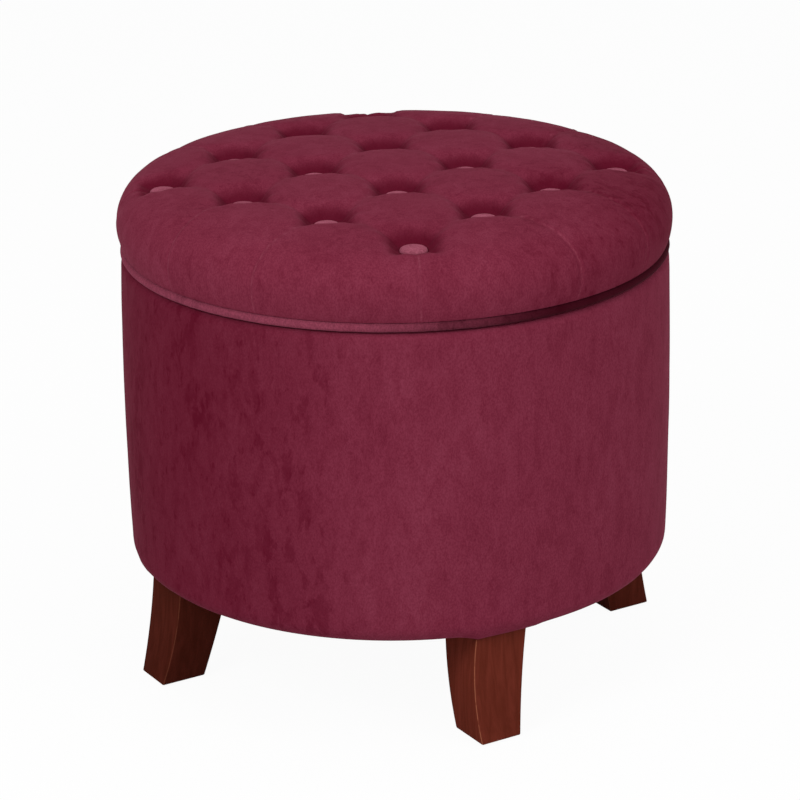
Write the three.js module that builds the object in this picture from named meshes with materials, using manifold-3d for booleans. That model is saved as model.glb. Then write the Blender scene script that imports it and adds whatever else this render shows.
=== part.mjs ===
// A round storage ottoman: a button-tufted lid that lifts off a padded drum on four sabre legs.
// Millimetres, +Z up. The origin is on the floor, under the middle of the drum.
import * as THREE from 'three';
import { mergeVertices } from 'three/addons/utils/BufferGeometryUtils.js';
import Module from 'manifold-3d';

const wasm = await Module();
wasm.setup();

// ---- Overall sizes -------------------------------------------------------------------------
const BODY_RADIUS = 245;        // over the velvet, at the top and the bottom of the drum's side
const BODY_BULGE = 2;           // how much further the padded side swells at half height
const BODY_HEIGHT = 286;        // underside of the drum to its rim
const LEG_HEIGHT = 97.6;        // floor to the top of a leg
const LID_HEIGHT = 75.2;        // underside of the lid to the middle of its crown
const LID_OVERHANG = 2.6;       // lid beyond the drum's side, all round

// ---- Clearance and cloth -------------------------------------------------------------------
const CLEAR = 0.3;              // between any two pieces that touch or fit
const COVER = 1.2;              // velvet with its backing, and the lining cloth
const DUST_CLOTH = 0.9;

// ---- Drum ----------------------------------------------------------------------------------
const BOTTOM_EDGE_OUT = 27.6;   // rounding of the drum's bottom edge, measured along the radius
const BOTTOM_EDGE_UP = 19;      // and upwards
const TOP_EDGE = 8;             // rounding of the drum's rim
const PADDING = 8;
const DRUM_WALL = 3;
const RING_WIDTH = 24;
const RING_THICKNESS = 15;
const INNER_WALL = 2.4;
const PANEL_THICKNESS = 12;
const POST_WIDTH = 40;
const POST_COUNT = 4;
const HEM_DEPTH = 36;           // velvet turned down inside the mouth
const WRAP_WIDTH = 46;          // velvet turned in under the panel

// ---- Legs and their fixings ----------------------------------------------------------------
const LEG_COUNT = 4;
const LEG_INSET = 43;           // a leg's bolt, in from the drum's side
const LEG_TWIST = 9.6;          // degrees a leg stands turned past square when its bolt is tight
const LEG_TOP = 51.9;           // square section at the top
const LEG_FOOT_DEPTH = 43.1;    // section at the floor, along the leg's own outward direction
const LEG_FOOT_WIDTH = 40.1;    // and across it
const LEG_KICK = 17.9;          // middle of the foot, out from the bolt's axis
const LEG_SPLAY = 9;            // and to the leg's right
const LEG_KICK_BOW = 1.9;       // the middle hangs back this far half way up
const LEG_SPLAY_BOW = 0.9;      // and this far to the right
const LEG_WAIST = 2.9;          // the section is this much shallower half way up
const LEG_SWELL = 3.6;          // and this much wider
const LEG_STEPS = 10;
const BOLT_DIAMETER = 8;
const BOLT_IN_LEG = 38;
const T_NUT_BARREL = 11;
const T_NUT_FLANGE = 22;
const T_NUT_PLATE = 1.5;
const T_NUT_LENGTH = 9;
const GLIDE_DIAMETER = 22;
const GLIDE_THICKNESS = 1.6;
const GLIDE_NAIL = 3;
const GLIDE_NAIL_LENGTH = 12;

// ---- Lid -----------------------------------------------------------------------------------
const LID_BOARD = 12;
const LID_WAIST = 30;           // height of the lid's widest line above its underside
const LID_EDGE_IN = 32.5;       // rounding of the lid's top edge, measured along the radius
const LID_CROWN = 8.6;          // rise of the top from that edge to the middle
const LID_FOOT_TUCK = 4.4;      // lid's side pulled in where it meets the piping
const LID_WRAP_WIDTH = 30;      // velvet turned in under the board
const PIPING = 8.2;             // diameter of the piping cord
const PIPING_TUCK = 0.4;        // piping's outer edge beyond the drum's radius
const RING_DROP = 11.5;         // locating ring below the board
const LOCATING_WIDTH = 24;
const LOCATING_CLEAR = 3.3;     // locating ring to the mouth of the drum
const LID_CLOTH = 0.8;

// ---- Tufting -------------------------------------------------------------------------------
const BUTTON_ROWS = 4;
const BUTTON_EDGE = 45.6;       // corner button's middle, in from the lid's side
const BUTTON_TURN = 28.7;       // degrees the square of buttons stands turned on the lid
const BUTTON_SHIFT = 3.5;       // its middle lies this far to -X of the lid's middle
const BUTTON_DIAMETER = 24;
const BUTTON_HEAD = 6.5;
const BUTTON_SINK = 6.2;         // button's top below the crown
const TWINE = 3;
const KNOT_DIAMETER = 8;
const KNOT_THICKNESS = 3;
const DIMPLE_MARGIN = 1.5;      // cloth round the button at the bottom of its dimple
const DIMPLE_SLOPE = 1.25;      // dimple's spread per unit of height

// ---- Screws of the locating ring -------------------------------------------------------------
const SCREW_COUNT = 4;
const SCREW_DIAMETER = 4;
const SCREW_HEAD = 8;
const SCREW_SINK = 2.5;
const SCREW_LENGTH = 19;
const SCREW_POINT = 3;

// ---- Fineness --------------------------------------------------------------------------------
const ROUND = 32;               // flats round a large ring
const SMALL_ROUND = 6;          // flats round twine, screws and buttons
const BOLT_ROUND = 8;           // flats round bolts, nuts, glides and dimples

// ---- Heights and radii that follow -----------------------------------------------------------
const bodyBottom = LEG_HEIGHT + CLEAR;
const rimZ = bodyBottom + BODY_HEIGHT;
const skin = COVER + CLEAR;
const topEdge = Math.min(TOP_EDGE, skin + PADDING - 1);
const paddingOuter = BODY_RADIUS - skin;
const drumOuter = paddingOuter - PADDING - CLEAR;
const drumInner = drumOuter - DRUM_WALL;
const frameOuter = drumInner - CLEAR;
const frameInner = frameOuter - RING_WIDTH;
const innerWallOuter = frameInner - CLEAR;
const innerWallInner = innerWallOuter - INNER_WALL;
const hemOuter = innerWallInner - CLEAR;
const mouthRadius = hemOuter - COVER;
const panelBottom = bodyBottom + skin;
const panelTop = panelBottom + PANEL_THICKNESS;
const frameTop = rimZ - skin;
const ringBottom = frameTop - RING_THICKNESS;
const wrapInner = BODY_RADIUS - BOTTOM_EDGE_OUT - WRAP_WIDTH + COVER;
const hemBottom = rimZ - HEM_DEPTH;
const boltRadius = BODY_RADIUS - LEG_INSET;

const lidBottom = rimZ + CLEAR;
const lidRadius = BODY_RADIUS + LID_OVERHANG;
const lidTop = lidBottom + LID_HEIGHT;
const lidEdgeUp = LID_HEIGHT - LID_WAIST - LID_CROWN;
const pipingOuter = BODY_RADIUS + PIPING_TUCK;
const seamRadius = pipingOuter - PIPING - CLEAR;
const seamTop = lidBottom + PIPING + CLEAR;
const boardBottom = lidBottom + skin;
const boardTop = boardBottom + LID_BOARD;
const boardRadius = seamRadius - skin;
const lidWrapInner = seamRadius - LID_WRAP_WIDTH;
const locatingOuter = mouthRadius - LOCATING_CLEAR;
const locatingInner = locatingOuter - LOCATING_WIDTH;
const locatingTop = boardBottom - CLEAR;
const locatingBottom = locatingTop - RING_DROP;

const tuftRadius = lidRadius - BUTTON_EDGE;
const buttonPitch = tuftRadius * Math.SQRT2 / (BUTTON_ROWS - 1);

// ---- Colours and finishes --------------------------------------------------------------------
const finish = (color, roughness, metalness) => ({ color, roughness, metalness });
const VELVET = finish(0x7a2a42, 0.85, 0);
const FOAM = finish(0xe4d9a8, 0.95, 0);
const PLYWOOD = finish(0xc39a63, 0.7, 0);
const FIBREBOARD = finish(0x8a6a48, 0.8, 0);
const TIMBER = finish(0xcfae7a, 0.75, 0);
const BLACK_CLOTH = finish(0x1b1a1c, 0.95, 0);
const STAINED_WOOD = finish(0x4f1e14, 0.4, 0);
const ZINC = finish(0xa8abb0, 0.35, 1);
const BROWN_PLASTIC = finish(0x2a1c16, 0.5, 0);

const group = new THREE.Group();

function addPiece(name, geometry, look) {
  const mesh = new THREE.Mesh(geometry, new THREE.MeshStandardMaterial(look));
  mesh.name = name;
  group.add(mesh);
  return mesh;
}

// ---- Solids ----------------------------------------------------------------------------------
const point = (r, z) => new THREE.Vector2(r, z);

// Turns a section, listed anticlockwise with the radius to the right and z up, into a solid about Z.
function turned(section, sides = ROUND) {
  const geometry = new THREE.LatheGeometry(section, sides);
  geometry.rotateX(Math.PI / 2);
  return geometry;
}

// A closed ring's section ends where it starts.
const closed = (section) => [...section, section[0].clone()];

function ringSection(inner, outer, bottom, top) {
  return closed([point(inner, bottom), point(outer, bottom), point(outer, top), point(inner, top)]);
}

function discSection(radius, bottom, top) {
  return [point(0, bottom), point(radius, bottom), point(radius, top), point(0, top)];
}

const pinGeometry = (radius, bottom, top, sides) => turned(discSection(radius, bottom, top), sides);

function solidOf(geometry) {
  const bare = geometry.clone();
  bare.deleteAttribute('normal');
  bare.deleteAttribute('uv');
  const merged = mergeVertices(bare, 1e-4);
  const index = merged.index.array;
  const kept = [];
  for (let i = 0; i < index.length; i += 3) {
    const [a, b, c] = [index[i], index[i + 1], index[i + 2]];
    if (a !== b && b !== c && c !== a) kept.push(a, b, c);
  }
  return new wasm.Manifold(new wasm.Mesh({
    numProp: 3,
    vertProperties: Float32Array.from(merged.attributes.position.array),
    triVerts: Uint32Array.from(kept),
  }));
}

function geometryOf(solid) {
  const mesh = solid.getMesh();
  const geometry = new THREE.BufferGeometry();
  geometry.setAttribute('position', new THREE.BufferAttribute(mesh.vertProperties, 3));
  geometry.setIndex(new THREE.BufferAttribute(mesh.triVerts, 1));
  return geometry;
}

// Cuts every tool from a body and gives the geometry that is left.
function cut(geometry, tools) {
  let solid = solidOf(geometry);
  for (const tool of tools) solid = solid.subtract(solidOf(tool));
  return geometryOf(solid);
}

const degrees = (value) => value * Math.PI / 180;

// A copy of a tool or a piece, moved over the floor.
function placed(geometry, x, y) {
  return geometry.clone().translate(x, y, 0);
}

// Places a tool or a piece on a leg's bolt, turned as the leg stands.
function atLeg(geometry, { x, y, angle }) {
  return geometry.clone().rotateZ(angle + degrees(LEG_TWIST)).translate(x, y, 0);
}

// Places evenly spread on a circle, from a start angle measured from +X.
function around(count, start, radius) {
  return Array.from({ length: count }, (_, i) => {
    const angle = start + i * 2 * Math.PI / count;
    return { x: radius * Math.cos(angle), y: radius * Math.sin(angle), angle };
  });
}

// ---- Outlines of the upholstery --------------------------------------------------------------
// Points along an ellipse's quarter or part of it, angles in degrees.
function ellipsePoints(cx, cz, rx, rz, from, to, steps) {
  return Array.from({ length: steps + 1 }, (_, i) => {
    const angle = degrees(from + (to - from) * i / steps);
    return point(cx + rx * Math.cos(angle), cz + rz * Math.sin(angle));
  });
}

const edgeCentre = BODY_RADIUS - BOTTOM_EDGE_OUT;

// The drum's rounded bottom edge, from underneath to the side, set in by an offset.
function bottomEdge(offset) {
  return ellipsePoints(edgeCentre, bodyBottom + BOTTOM_EDGE_UP, BOTTOM_EDGE_OUT - offset,
    BOTTOM_EDGE_UP - offset, -90, 0, 4);
}

// The point where that edge reaches a radius, and the edge's own points inside or outside it.
function edgeAt(radius, offset) {
  const edge = bottomEdge(offset);
  const next = edge.findIndex((corner) => corner.x > radius);
  const [low, high] = [edge[next - 1], edge[next]];
  const share = (radius - low.x) / (high.x - low.x);
  return { at: low.clone().lerp(high, share), inside: edge.slice(0, next), outside: edge.slice(next) };
}

// The drum's side from the end of its bottom edge to its rim, set in by an offset.
function bodySide(offset) {
  const high = rimZ - topEdge;
  return [
    point(BODY_RADIUS - offset + BODY_BULGE, (bodyBottom + BOTTOM_EDGE_UP + high) / 2),
    ...ellipsePoints(BODY_RADIUS - topEdge, high, topEdge - offset, topEdge - offset, 0, 90, 2),
  ];
}

// Height of the lid's crown at a radius.
function crownHeight(radius) {
  const edge = lidRadius - LID_EDGE_IN;
  return lidTop - LID_CROWN * (radius / edge) ** 2;
}

// The lid's side and top from the piping to the middle, set in by an offset.
function lidOutside(offset, foot) {
  const waist = lidBottom + LID_WAIST;
  const edge = lidRadius - LID_EDGE_IN;
  const crown = [0.5, 0].map((share) => point(edge * share, crownHeight(edge * share) - offset));
  return [
    point(lidRadius - LID_FOOT_TUCK - offset, foot),
    point(lidRadius - LID_FOOT_TUCK * 0.25 - offset, (foot + waist) / 2),
    ...ellipsePoints(edge, waist, LID_EDGE_IN - offset, lidEdgeUp - offset, 0, 90, 4),
    ...crown,
  ];
}

// ---- Drum ------------------------------------------------------------------------------------
const legPlaces = around(LEG_COUNT, degrees(-45), boltRadius);

function basePanel() {
  const { inside, at } = edgeAt(frameOuter, skin);
  const panel = turned([point(0, panelBottom), ...inside, at, point(frameOuter, panelTop), point(0, panelTop)]);
  const hole = turned([
    point(0, panelBottom - 1),
    point(T_NUT_BARREL / 2 + CLEAR, panelBottom - 1),
    point(T_NUT_BARREL / 2 + CLEAR, panelTop - T_NUT_PLATE - CLEAR),
    point(T_NUT_FLANGE / 2 + CLEAR, panelTop - T_NUT_PLATE - CLEAR),
    point(T_NUT_FLANGE / 2 + CLEAR, panelTop + 1),
    point(0, panelTop + 1),
  ], BOLT_ROUND);
  return cut(panel, legPlaces.map((place) => atLeg(hole, place)));
}

function drumWall() {
  return turned(ringSection(drumInner, drumOuter, edgeAt(drumOuter, skin).at.y, frameTop));
}

const topRing = () => turned(ringSection(frameInner, frameOuter, ringBottom, frameTop));

const innerWall = () => turned(ringSection(innerWallInner, innerWallOuter, panelTop + CLEAR, frameTop));

// A post's outer corners just clear the drum wall, and its inner face the inner wall.
function post(angle) {
  const flatsIn = Math.cos(Math.PI / ROUND);
  const outerFace = Math.sqrt((frameOuter * flatsIn) ** 2 - (POST_WIDTH / 2) ** 2);
  const depth = outerFace - frameInner;
  const height = ringBottom - panelTop - 2 * CLEAR;
  const geometry = new THREE.BoxGeometry(depth, POST_WIDTH, height);
  geometry.translate(outerFace - depth / 2, 0, panelTop + CLEAR + height / 2);
  geometry.rotateZ(angle);
  return geometry;
}

function bodyPadding() {
  const inner = drumOuter + CLEAR;
  const { at, outside } = edgeAt(inner, skin);
  return turned(closed([at, ...outside, ...bodySide(skin), point(inner, frameTop)]));
}

// Velvet: turned in under the panel, up the side, over the rim and down inside as a hem.
function bodyCover() {
  const outside = [...bottomEdge(0), ...bodySide(0)];
  const inside = [...bottomEdge(COVER), ...bodySide(COVER)].reverse();
  const cover = turned(closed([
    point(wrapInner, bodyBottom),
    ...outside,
    point(mouthRadius, rimZ),
    point(mouthRadius, hemBottom),
    point(hemOuter, hemBottom),
    point(hemOuter, rimZ - COVER),
    ...inside,
    point(wrapInner, bodyBottom + COVER),
  ]));
  const hole = pinGeometry(BOLT_DIAMETER / 2 + CLEAR, bodyBottom - 1, panelBottom, BOLT_ROUND);
  return cut(cover, legPlaces.map((place) => atLeg(hole, place)));
}

function storageLining() {
  const floor = panelTop + CLEAR;
  return turned([
    point(0, floor),
    point(hemOuter, floor),
    point(hemOuter, hemBottom - CLEAR),
    point(mouthRadius, hemBottom - CLEAR),
    point(mouthRadius, floor + COVER),
    point(0, floor + COVER),
  ]);
}

const dustCover = () => turned(discSection(wrapInner - CLEAR, panelBottom - CLEAR - DUST_CLOTH, panelBottom - CLEAR));

// ---- Legs ------------------------------------------------------------------------------------
// A leg in its own frame: +X outwards, the bolt's axis on Z, its foot on the glide.
function legGeometry() {
  const foot = GLIDE_THICKNESS + CLEAR;
  const geometry = new THREE.BoxGeometry(1, 1, 1, 1, 1, LEG_STEPS);
  const position = geometry.attributes.position;
  for (let i = 0; i < position.count; i += 1) {
    const share = position.getZ(i) + 0.5;
    const bow = 4 * share * (1 - share);
    const depth = LEG_FOOT_DEPTH + (LEG_TOP - LEG_FOOT_DEPTH) * share - LEG_WAIST * bow;
    const width = LEG_FOOT_WIDTH + (LEG_TOP - LEG_FOOT_WIDTH) * share + LEG_SWELL * bow;
    position.setXYZ(i,
      LEG_KICK * (1 - share) - LEG_KICK_BOW * bow + position.getX(i) * depth,
      -LEG_SPLAY * (1 - share) - LEG_SPLAY_BOW * bow + position.getY(i) * width,
      foot + (LEG_HEIGHT - foot) * share);
  }
  const boltHole = pinGeometry(BOLT_DIAMETER / 2 + CLEAR, LEG_HEIGHT - BOLT_IN_LEG - CLEAR,
    LEG_HEIGHT + 1, BOLT_ROUND);
  const nailHole = pinGeometry(GLIDE_NAIL / 2 + CLEAR, foot - 1, foot + GLIDE_NAIL_LENGTH + CLEAR, SMALL_ROUND);
  return cut(geometry, [boltHole, placed(nailHole, LEG_KICK, -LEG_SPLAY)]);
}

function boltGeometry() {
  return pinGeometry(BOLT_DIAMETER / 2, LEG_HEIGHT - BOLT_IN_LEG, panelTop - T_NUT_PLATE / 2, BOLT_ROUND);
}

function tNutGeometry() {
  const bore = BOLT_DIAMETER / 2 + CLEAR;
  const plate = panelTop - T_NUT_PLATE;
  return turned(closed([
    point(bore, plate - T_NUT_LENGTH),
    point(T_NUT_BARREL / 2, plate - T_NUT_LENGTH),
    point(T_NUT_BARREL / 2, plate),
    point(T_NUT_FLANGE / 2, plate),
    point(T_NUT_FLANGE / 2, panelTop),
    point(bore, panelTop),
  ]), BOLT_ROUND);
}

// A glide is a disc with its nail, under the middle of the foot.
function glideGeometry() {
  const disc = turned([
    point(0, 0),
    point(GLIDE_DIAMETER / 2 - 1, 0),
    point(GLIDE_DIAMETER / 2, 1),
    point(GLIDE_DIAMETER / 2, GLIDE_THICKNESS),
    point(GLIDE_NAIL / 2, GLIDE_THICKNESS),
    point(GLIDE_NAIL / 2, GLIDE_THICKNESS + GLIDE_NAIL_LENGTH),
    point(0, GLIDE_THICKNESS + GLIDE_NAIL_LENGTH),
  ], BOLT_ROUND);
  return disc.translate(LEG_KICK, -LEG_SPLAY, 0);
}

// ---- Lid -------------------------------------------------------------------------------------
// The buttons stand in a square pattern without its own turn.
const buttonPlaces = [];
for (let row = 0; row < BUTTON_ROWS; row += 1) {
  for (let column = 0; column < BUTTON_ROWS; column += 1) {
    const flat = new THREE.Vector2(column, row).subScalar((BUTTON_ROWS - 1) / 2).multiplyScalar(buttonPitch);
    flat.rotateAround(new THREE.Vector2(0, 0), degrees(BUTTON_TURN + 45));
    flat.x -= BUTTON_SHIFT;
    buttonPlaces.push({ x: flat.x, y: flat.y, top: crownHeight(flat.length()) - BUTTON_SINK });
  }
}
const screwPlaces = around(SCREW_COUNT, degrees(BUTTON_TURN + 45), (locatingInner + locatingOuter) / 2);

// A dimple's cutter: a cone standing on the seat of a button, set out by an offset.
function dimple(place, offset) {
  const seat = place.top - BUTTON_HEAD - CLEAR - offset;
  const spread = offset * (Math.hypot(1, DIMPLE_SLOPE) - DIMPLE_SLOPE);
  const low = BUTTON_DIAMETER / 2 + DIMPLE_MARGIN + spread;
  const height = lidTop + 1 - seat;
  const cone = turned([
    point(0, seat),
    point(low, seat),
    point(low + height * DIMPLE_SLOPE, seat + height),
    point(0, seat + height),
  ], BOLT_ROUND);
  return placed(cone, place.x, place.y);
}

const twineHole = (place, bottom, top) => placed(pinGeometry(TWINE / 2 + CLEAR, bottom, top, SMALL_ROUND), place.x, place.y);

function lidBoard() {
  const board = turned(discSection(boardRadius, boardBottom, boardTop));
  const pocket = pinGeometry(KNOT_DIAMETER / 2 + CLEAR, boardBottom - 1, boardBottom + KNOT_THICKNESS + 2 * CLEAR,
    SMALL_ROUND);
  const tools = buttonPlaces.flatMap((place) => [
    twineHole(place, boardBottom - 1, boardTop + 1),
    placed(pocket, place.x, place.y),
  ]);
  const pilot = screwGeometry(CLEAR);
  return cut(board, [...tools, ...screwPlaces.map(({ x, y }) => placed(pilot, x, y))]);
}

// Foam: on the board, with a skirt outside the board's edge.
function lidFoam() {
  const foam = turned([
    point(0, boardTop + CLEAR),
    point(boardRadius + CLEAR, boardTop + CLEAR),
    point(boardRadius + CLEAR, seamTop + skin),
    ...lidOutside(skin, seamTop + skin),
  ]);
  const tools = buttonPlaces.flatMap((place) => [
    dimple(place, skin),
    twineHole(place, boardTop - 1, lidTop),
  ]);
  return cut(foam, tools);
}

// Velvet over the foam, down the side, in behind the piping and under the board.
function lidCover() {
  const outer = turned([
    point(0, lidBottom),
    point(seamRadius, lidBottom),
    point(seamRadius, seamTop),
    ...lidOutside(0, seamTop),
  ]);
  const inner = turned([
    point(0, lidBottom - 1),
    point(lidWrapInner, lidBottom - 1),
    point(lidWrapInner, lidBottom + COVER),
    point(seamRadius - COVER, lidBottom + COVER),
    point(seamRadius - COVER, seamTop + COVER),
    ...lidOutside(COVER, seamTop + COVER),
  ]);
  const dimpledInner = cut(inner, buttonPlaces.map((place) => dimple(place, COVER)));
  const tools = buttonPlaces.flatMap((place) => [dimple(place, 0), twineHole(place, boardTop, lidTop)]);
  return cut(outer, [...tools, dimpledInner]);
}

function lidPiping() {
  const cord = new THREE.TorusGeometry(pipingOuter - PIPING / 2, PIPING / 2, SMALL_ROUND, ROUND);
  return cord.translate(0, 0, lidBottom + PIPING / 2);
}

// A covered button with its twine and the knot that holds it under the board.
function lidButton(place) {
  const knotBottom = boardBottom + CLEAR;
  const knotTop = knotBottom + KNOT_THICKNESS;
  const headBottom = place.top - BUTTON_HEAD;
  const head = BUTTON_DIAMETER / 2;
  const button = turned([
    point(0, knotBottom),
    point(KNOT_DIAMETER / 2, knotBottom),
    point(KNOT_DIAMETER / 2, knotTop),
    point(TWINE / 2, knotTop),
    point(TWINE / 2, headBottom),
    point(head * 0.85, headBottom),
    point(head, headBottom + BUTTON_HEAD * 0.35),
    point(head * 0.6, place.top - BUTTON_HEAD * 0.15),
    point(0, place.top),
  ], SMALL_ROUND);
  return placed(button, place.x, place.y);
}

function locatingRing() {
  const ring = turned(ringSection(locatingInner, locatingOuter, locatingBottom, locatingTop));
  const hole = screwGeometry(CLEAR);
  return cut(ring, screwPlaces.map(({ x, y }) => placed(hole, x, y)));
}

// A countersunk screw on Z, its head flush with the ring's underside; grown all over, it cuts the hole.
function screwGeometry(grow) {
  const shank = SCREW_DIAMETER / 2 + grow;
  const head = SCREW_HEAD / 2 + grow;
  const top = locatingBottom + SCREW_LENGTH + grow;
  return turned([
    point(0, locatingBottom - grow),
    point(head, locatingBottom - grow),
    point(head, locatingBottom + grow),
    point(shank, locatingBottom + SCREW_SINK + grow),
    point(shank, top - SCREW_POINT),
    point(0, top),
  ], SMALL_ROUND);
}

const lidLining = () => turned(discSection(locatingInner - CLEAR, locatingTop - LID_CLOTH, locatingTop));

// ---- The object --------------------------------------------------------------------------------
addPiece('base_panel', basePanel(), PLYWOOD);
addPiece('drum_wall', drumWall(), FIBREBOARD);
addPiece('top_ring', topRing(), PLYWOOD);
around(POST_COUNT, 0, 1).forEach(({ angle }, i) => addPiece(`post_${i + 1}`, post(angle), TIMBER));
addPiece('inner_wall', innerWall(), FIBREBOARD);
addPiece('body_padding', bodyPadding(), FOAM);
addPiece('body_cover', bodyCover(), VELVET);
addPiece('storage_lining', storageLining(), BLACK_CLOTH);
addPiece('dust_cover', dustCover(), BLACK_CLOTH);

const legParts = [
  ['leg', legGeometry(), STAINED_WOOD],
  ['leg_bolt', boltGeometry(), ZINC],
  ['t_nut', tNutGeometry(), ZINC],
  ['glide', glideGeometry(), BROWN_PLASTIC],
];
for (const [name, geometry, look] of legParts) {
  legPlaces.forEach(({ x, y, angle }, i) => {
    const mesh = addPiece(`${name}_${i + 1}`, geometry, look);
    mesh.position.set(x, y, 0);
    mesh.rotation.z = angle + degrees(LEG_TWIST);
  });
}

addPiece('lid_board', lidBoard(), PLYWOOD);
addPiece('lid_foam', lidFoam(), FOAM);
addPiece('lid_cover', lidCover(), VELVET);
addPiece('lid_piping', lidPiping(), VELVET);
buttonPlaces.forEach((place, i) => {
  addPiece(`lid_button_${String(i + 1).padStart(2, '0')}`, lidButton(place), VELVET);
});
addPiece('locating_ring', locatingRing(), PLYWOOD);
screwPlaces.forEach(({ x, y }, i) => {
  const screw = addPiece(`ring_screw_${i + 1}`, screwGeometry(0), ZINC);
  screw.position.set(x, y, 0);
});
addPiece('lid_lining', lidLining(), BLACK_CLOTH);

export default group;
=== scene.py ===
"""A round storage ottoman in burgundy velvet: a button-tufted lid on a padded drum with sabre legs.

Everything is in metres, +Z up, with the origin on the floor under the middle of the drum.
"""
import logging
import math
from contextlib import contextmanager
from dataclasses import dataclass, field
from enum import Enum
from typing import Callable, Iterator, Sequence

import bpy
import numpy as np
from mathutils import Matrix, Vector, noise
from mathutils.kdtree import KDTree


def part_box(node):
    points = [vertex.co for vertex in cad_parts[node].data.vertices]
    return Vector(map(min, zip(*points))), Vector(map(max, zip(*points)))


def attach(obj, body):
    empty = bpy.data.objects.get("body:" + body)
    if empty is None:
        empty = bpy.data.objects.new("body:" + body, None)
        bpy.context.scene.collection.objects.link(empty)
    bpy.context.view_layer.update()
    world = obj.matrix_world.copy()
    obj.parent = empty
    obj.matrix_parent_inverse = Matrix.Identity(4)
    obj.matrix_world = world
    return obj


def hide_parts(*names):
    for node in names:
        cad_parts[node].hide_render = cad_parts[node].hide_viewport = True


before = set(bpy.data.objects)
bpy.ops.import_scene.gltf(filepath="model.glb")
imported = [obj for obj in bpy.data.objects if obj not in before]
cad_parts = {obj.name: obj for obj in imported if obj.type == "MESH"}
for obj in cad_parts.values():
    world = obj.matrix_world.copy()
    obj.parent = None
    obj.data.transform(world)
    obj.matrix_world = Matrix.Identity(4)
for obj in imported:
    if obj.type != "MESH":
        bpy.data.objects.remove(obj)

LOG = logging.getLogger("ottoman")
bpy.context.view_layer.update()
Colour = tuple[float, float, float]
Outline = list[tuple[float, float]]
MM = 0.001

# The share of the stain's colour that each leg keeps, from the first leg to the fourth: painted light and
# shade, each leg coloured as bright as the light falls on it.
LEG_PAINTED_LIGHT = (1.0, 0.60, 0.75, 0.52)


# ---- Working in Blender as by hand ------------------------------------------------------------


def nothing_selected() -> None:
    """Leaves edit mode and deselects every object."""
    if bpy.context.object and bpy.context.object.mode != "OBJECT":
        bpy.ops.object.mode_set(mode="OBJECT")
    bpy.ops.object.select_all(action="DESELECT")


def only(piece: bpy.types.Object) -> bpy.types.Object:
    """Selects one object and makes it active.

    Args:
        piece: the object to work on.

    Returns:
        The same object.
    """
    nothing_selected()
    piece.select_set(True)
    bpy.context.view_layer.objects.active = piece
    return piece


@contextmanager
def editing(piece: bpy.types.Object, how: str = "VERT") -> Iterator[None]:
    """Edit mode on one object, with everything in it selected.

    Args:
        piece: the object to edit.
        how: VERT, EDGE or FACE.
    """
    only(piece)
    bpy.ops.object.mode_set(mode="EDIT")
    bpy.ops.mesh.select_mode(type=how)
    bpy.ops.mesh.select_all(action="SELECT")
    yield
    bpy.ops.object.mode_set(mode="OBJECT")


def apply(piece: bpy.types.Object, kind: str, **settings: object) -> None:
    """Adds a modifier to an object and applies it.

    Args:
        piece: the object.
        kind: the modifier's type.
        settings: the modifier's values.
    """
    only(piece)
    modifier = piece.modifiers.new(kind.title(), kind)
    for name, value in settings.items():
        setattr(modifier, name, value)
    bpy.ops.object.modifier_apply(modifier=modifier.name)


def named(name: str) -> bpy.types.Object:
    """Names the active object and its mesh, and returns it.

    Args:
        name: the piece's name.

    Returns:
        The active object.
    """
    piece = bpy.context.object
    piece.name = name
    piece.data.name = name
    return piece


def settle(piece: bpy.types.Object) -> None:
    """Puts an object's place and turn into its mesh.

    Args:
        piece: the object.
    """
    only(piece)
    bpy.ops.object.transform_apply(location=True, rotation=True, scale=True)


def points_of(piece: bpy.types.Object) -> np.ndarray:
    """The vertices of a mesh as rows of x, y, z."""
    flat = np.empty(len(piece.data.vertices) * 3)
    piece.data.vertices.foreach_get("co", flat)
    return flat.reshape(-1, 3)


def normals_of(piece: bpy.types.Object) -> np.ndarray:
    """The vertex normals of a mesh as rows of x, y, z."""
    flat = np.empty(len(piece.data.vertices) * 3)
    piece.data.vertices.foreach_get("normal", flat)
    return flat.reshape(-1, 3)


def set_points(piece: bpy.types.Object, points: np.ndarray) -> None:
    """Writes the vertices of a mesh back."""
    piece.data.vertices.foreach_set("co", points.ravel())
    piece.data.update()


def radius_of(points: np.ndarray) -> np.ndarray:
    """How far each point is from the Z axis."""
    return np.hypot(points[:, 0], points[:, 1])


def angle_of(points: np.ndarray) -> np.ndarray:
    """The angle of each point round the Z axis, in radians."""
    return np.arctan2(points[:, 1], points[:, 0])


def ripple(points: np.ndarray, size: float, seed: float) -> np.ndarray:
    """Smooth noise from -1 to 1 at each point.

    Args:
        points: rows of x, y, z.
        size: the length of a wave, in metres.
        seed: shifts the noise.

    Returns:
        One value for each point.
    """
    shift = Vector((seed, seed * 1.7, -seed))
    return np.array([noise.noise(Vector(point) / size + shift) for point in points])


def copy_of(piece: bpy.types.Object, name: str) -> bpy.types.Object:
    """A copy of an object with a mesh of its own.

    Args:
        piece: the object to copy.
        name: the copy's name.

    Returns:
        The copy.
    """
    twin = piece.copy()
    twin.data = piece.data.copy()
    twin.name = name
    twin.data.name = name
    bpy.context.collection.objects.link(twin)
    return twin


def ring_upwards(outline: Outline) -> None:
    """Draws the active ring of edges along an outline, by extruding it up and scaling it.

    Args:
        outline: radius and height of each ring; the first is where the ring stands.
    """
    for (radius, height), (next_radius, next_height) in zip(outline, outline[1:]):
        bpy.ops.mesh.extrude_region_move(TRANSFORM_OT_translate={"value": (0, 0, next_height - height)})
        ratio = next_radius / radius
        bpy.ops.transform.resize(value=(ratio, ratio, 1), center_override=(0, 0, next_height))


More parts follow.
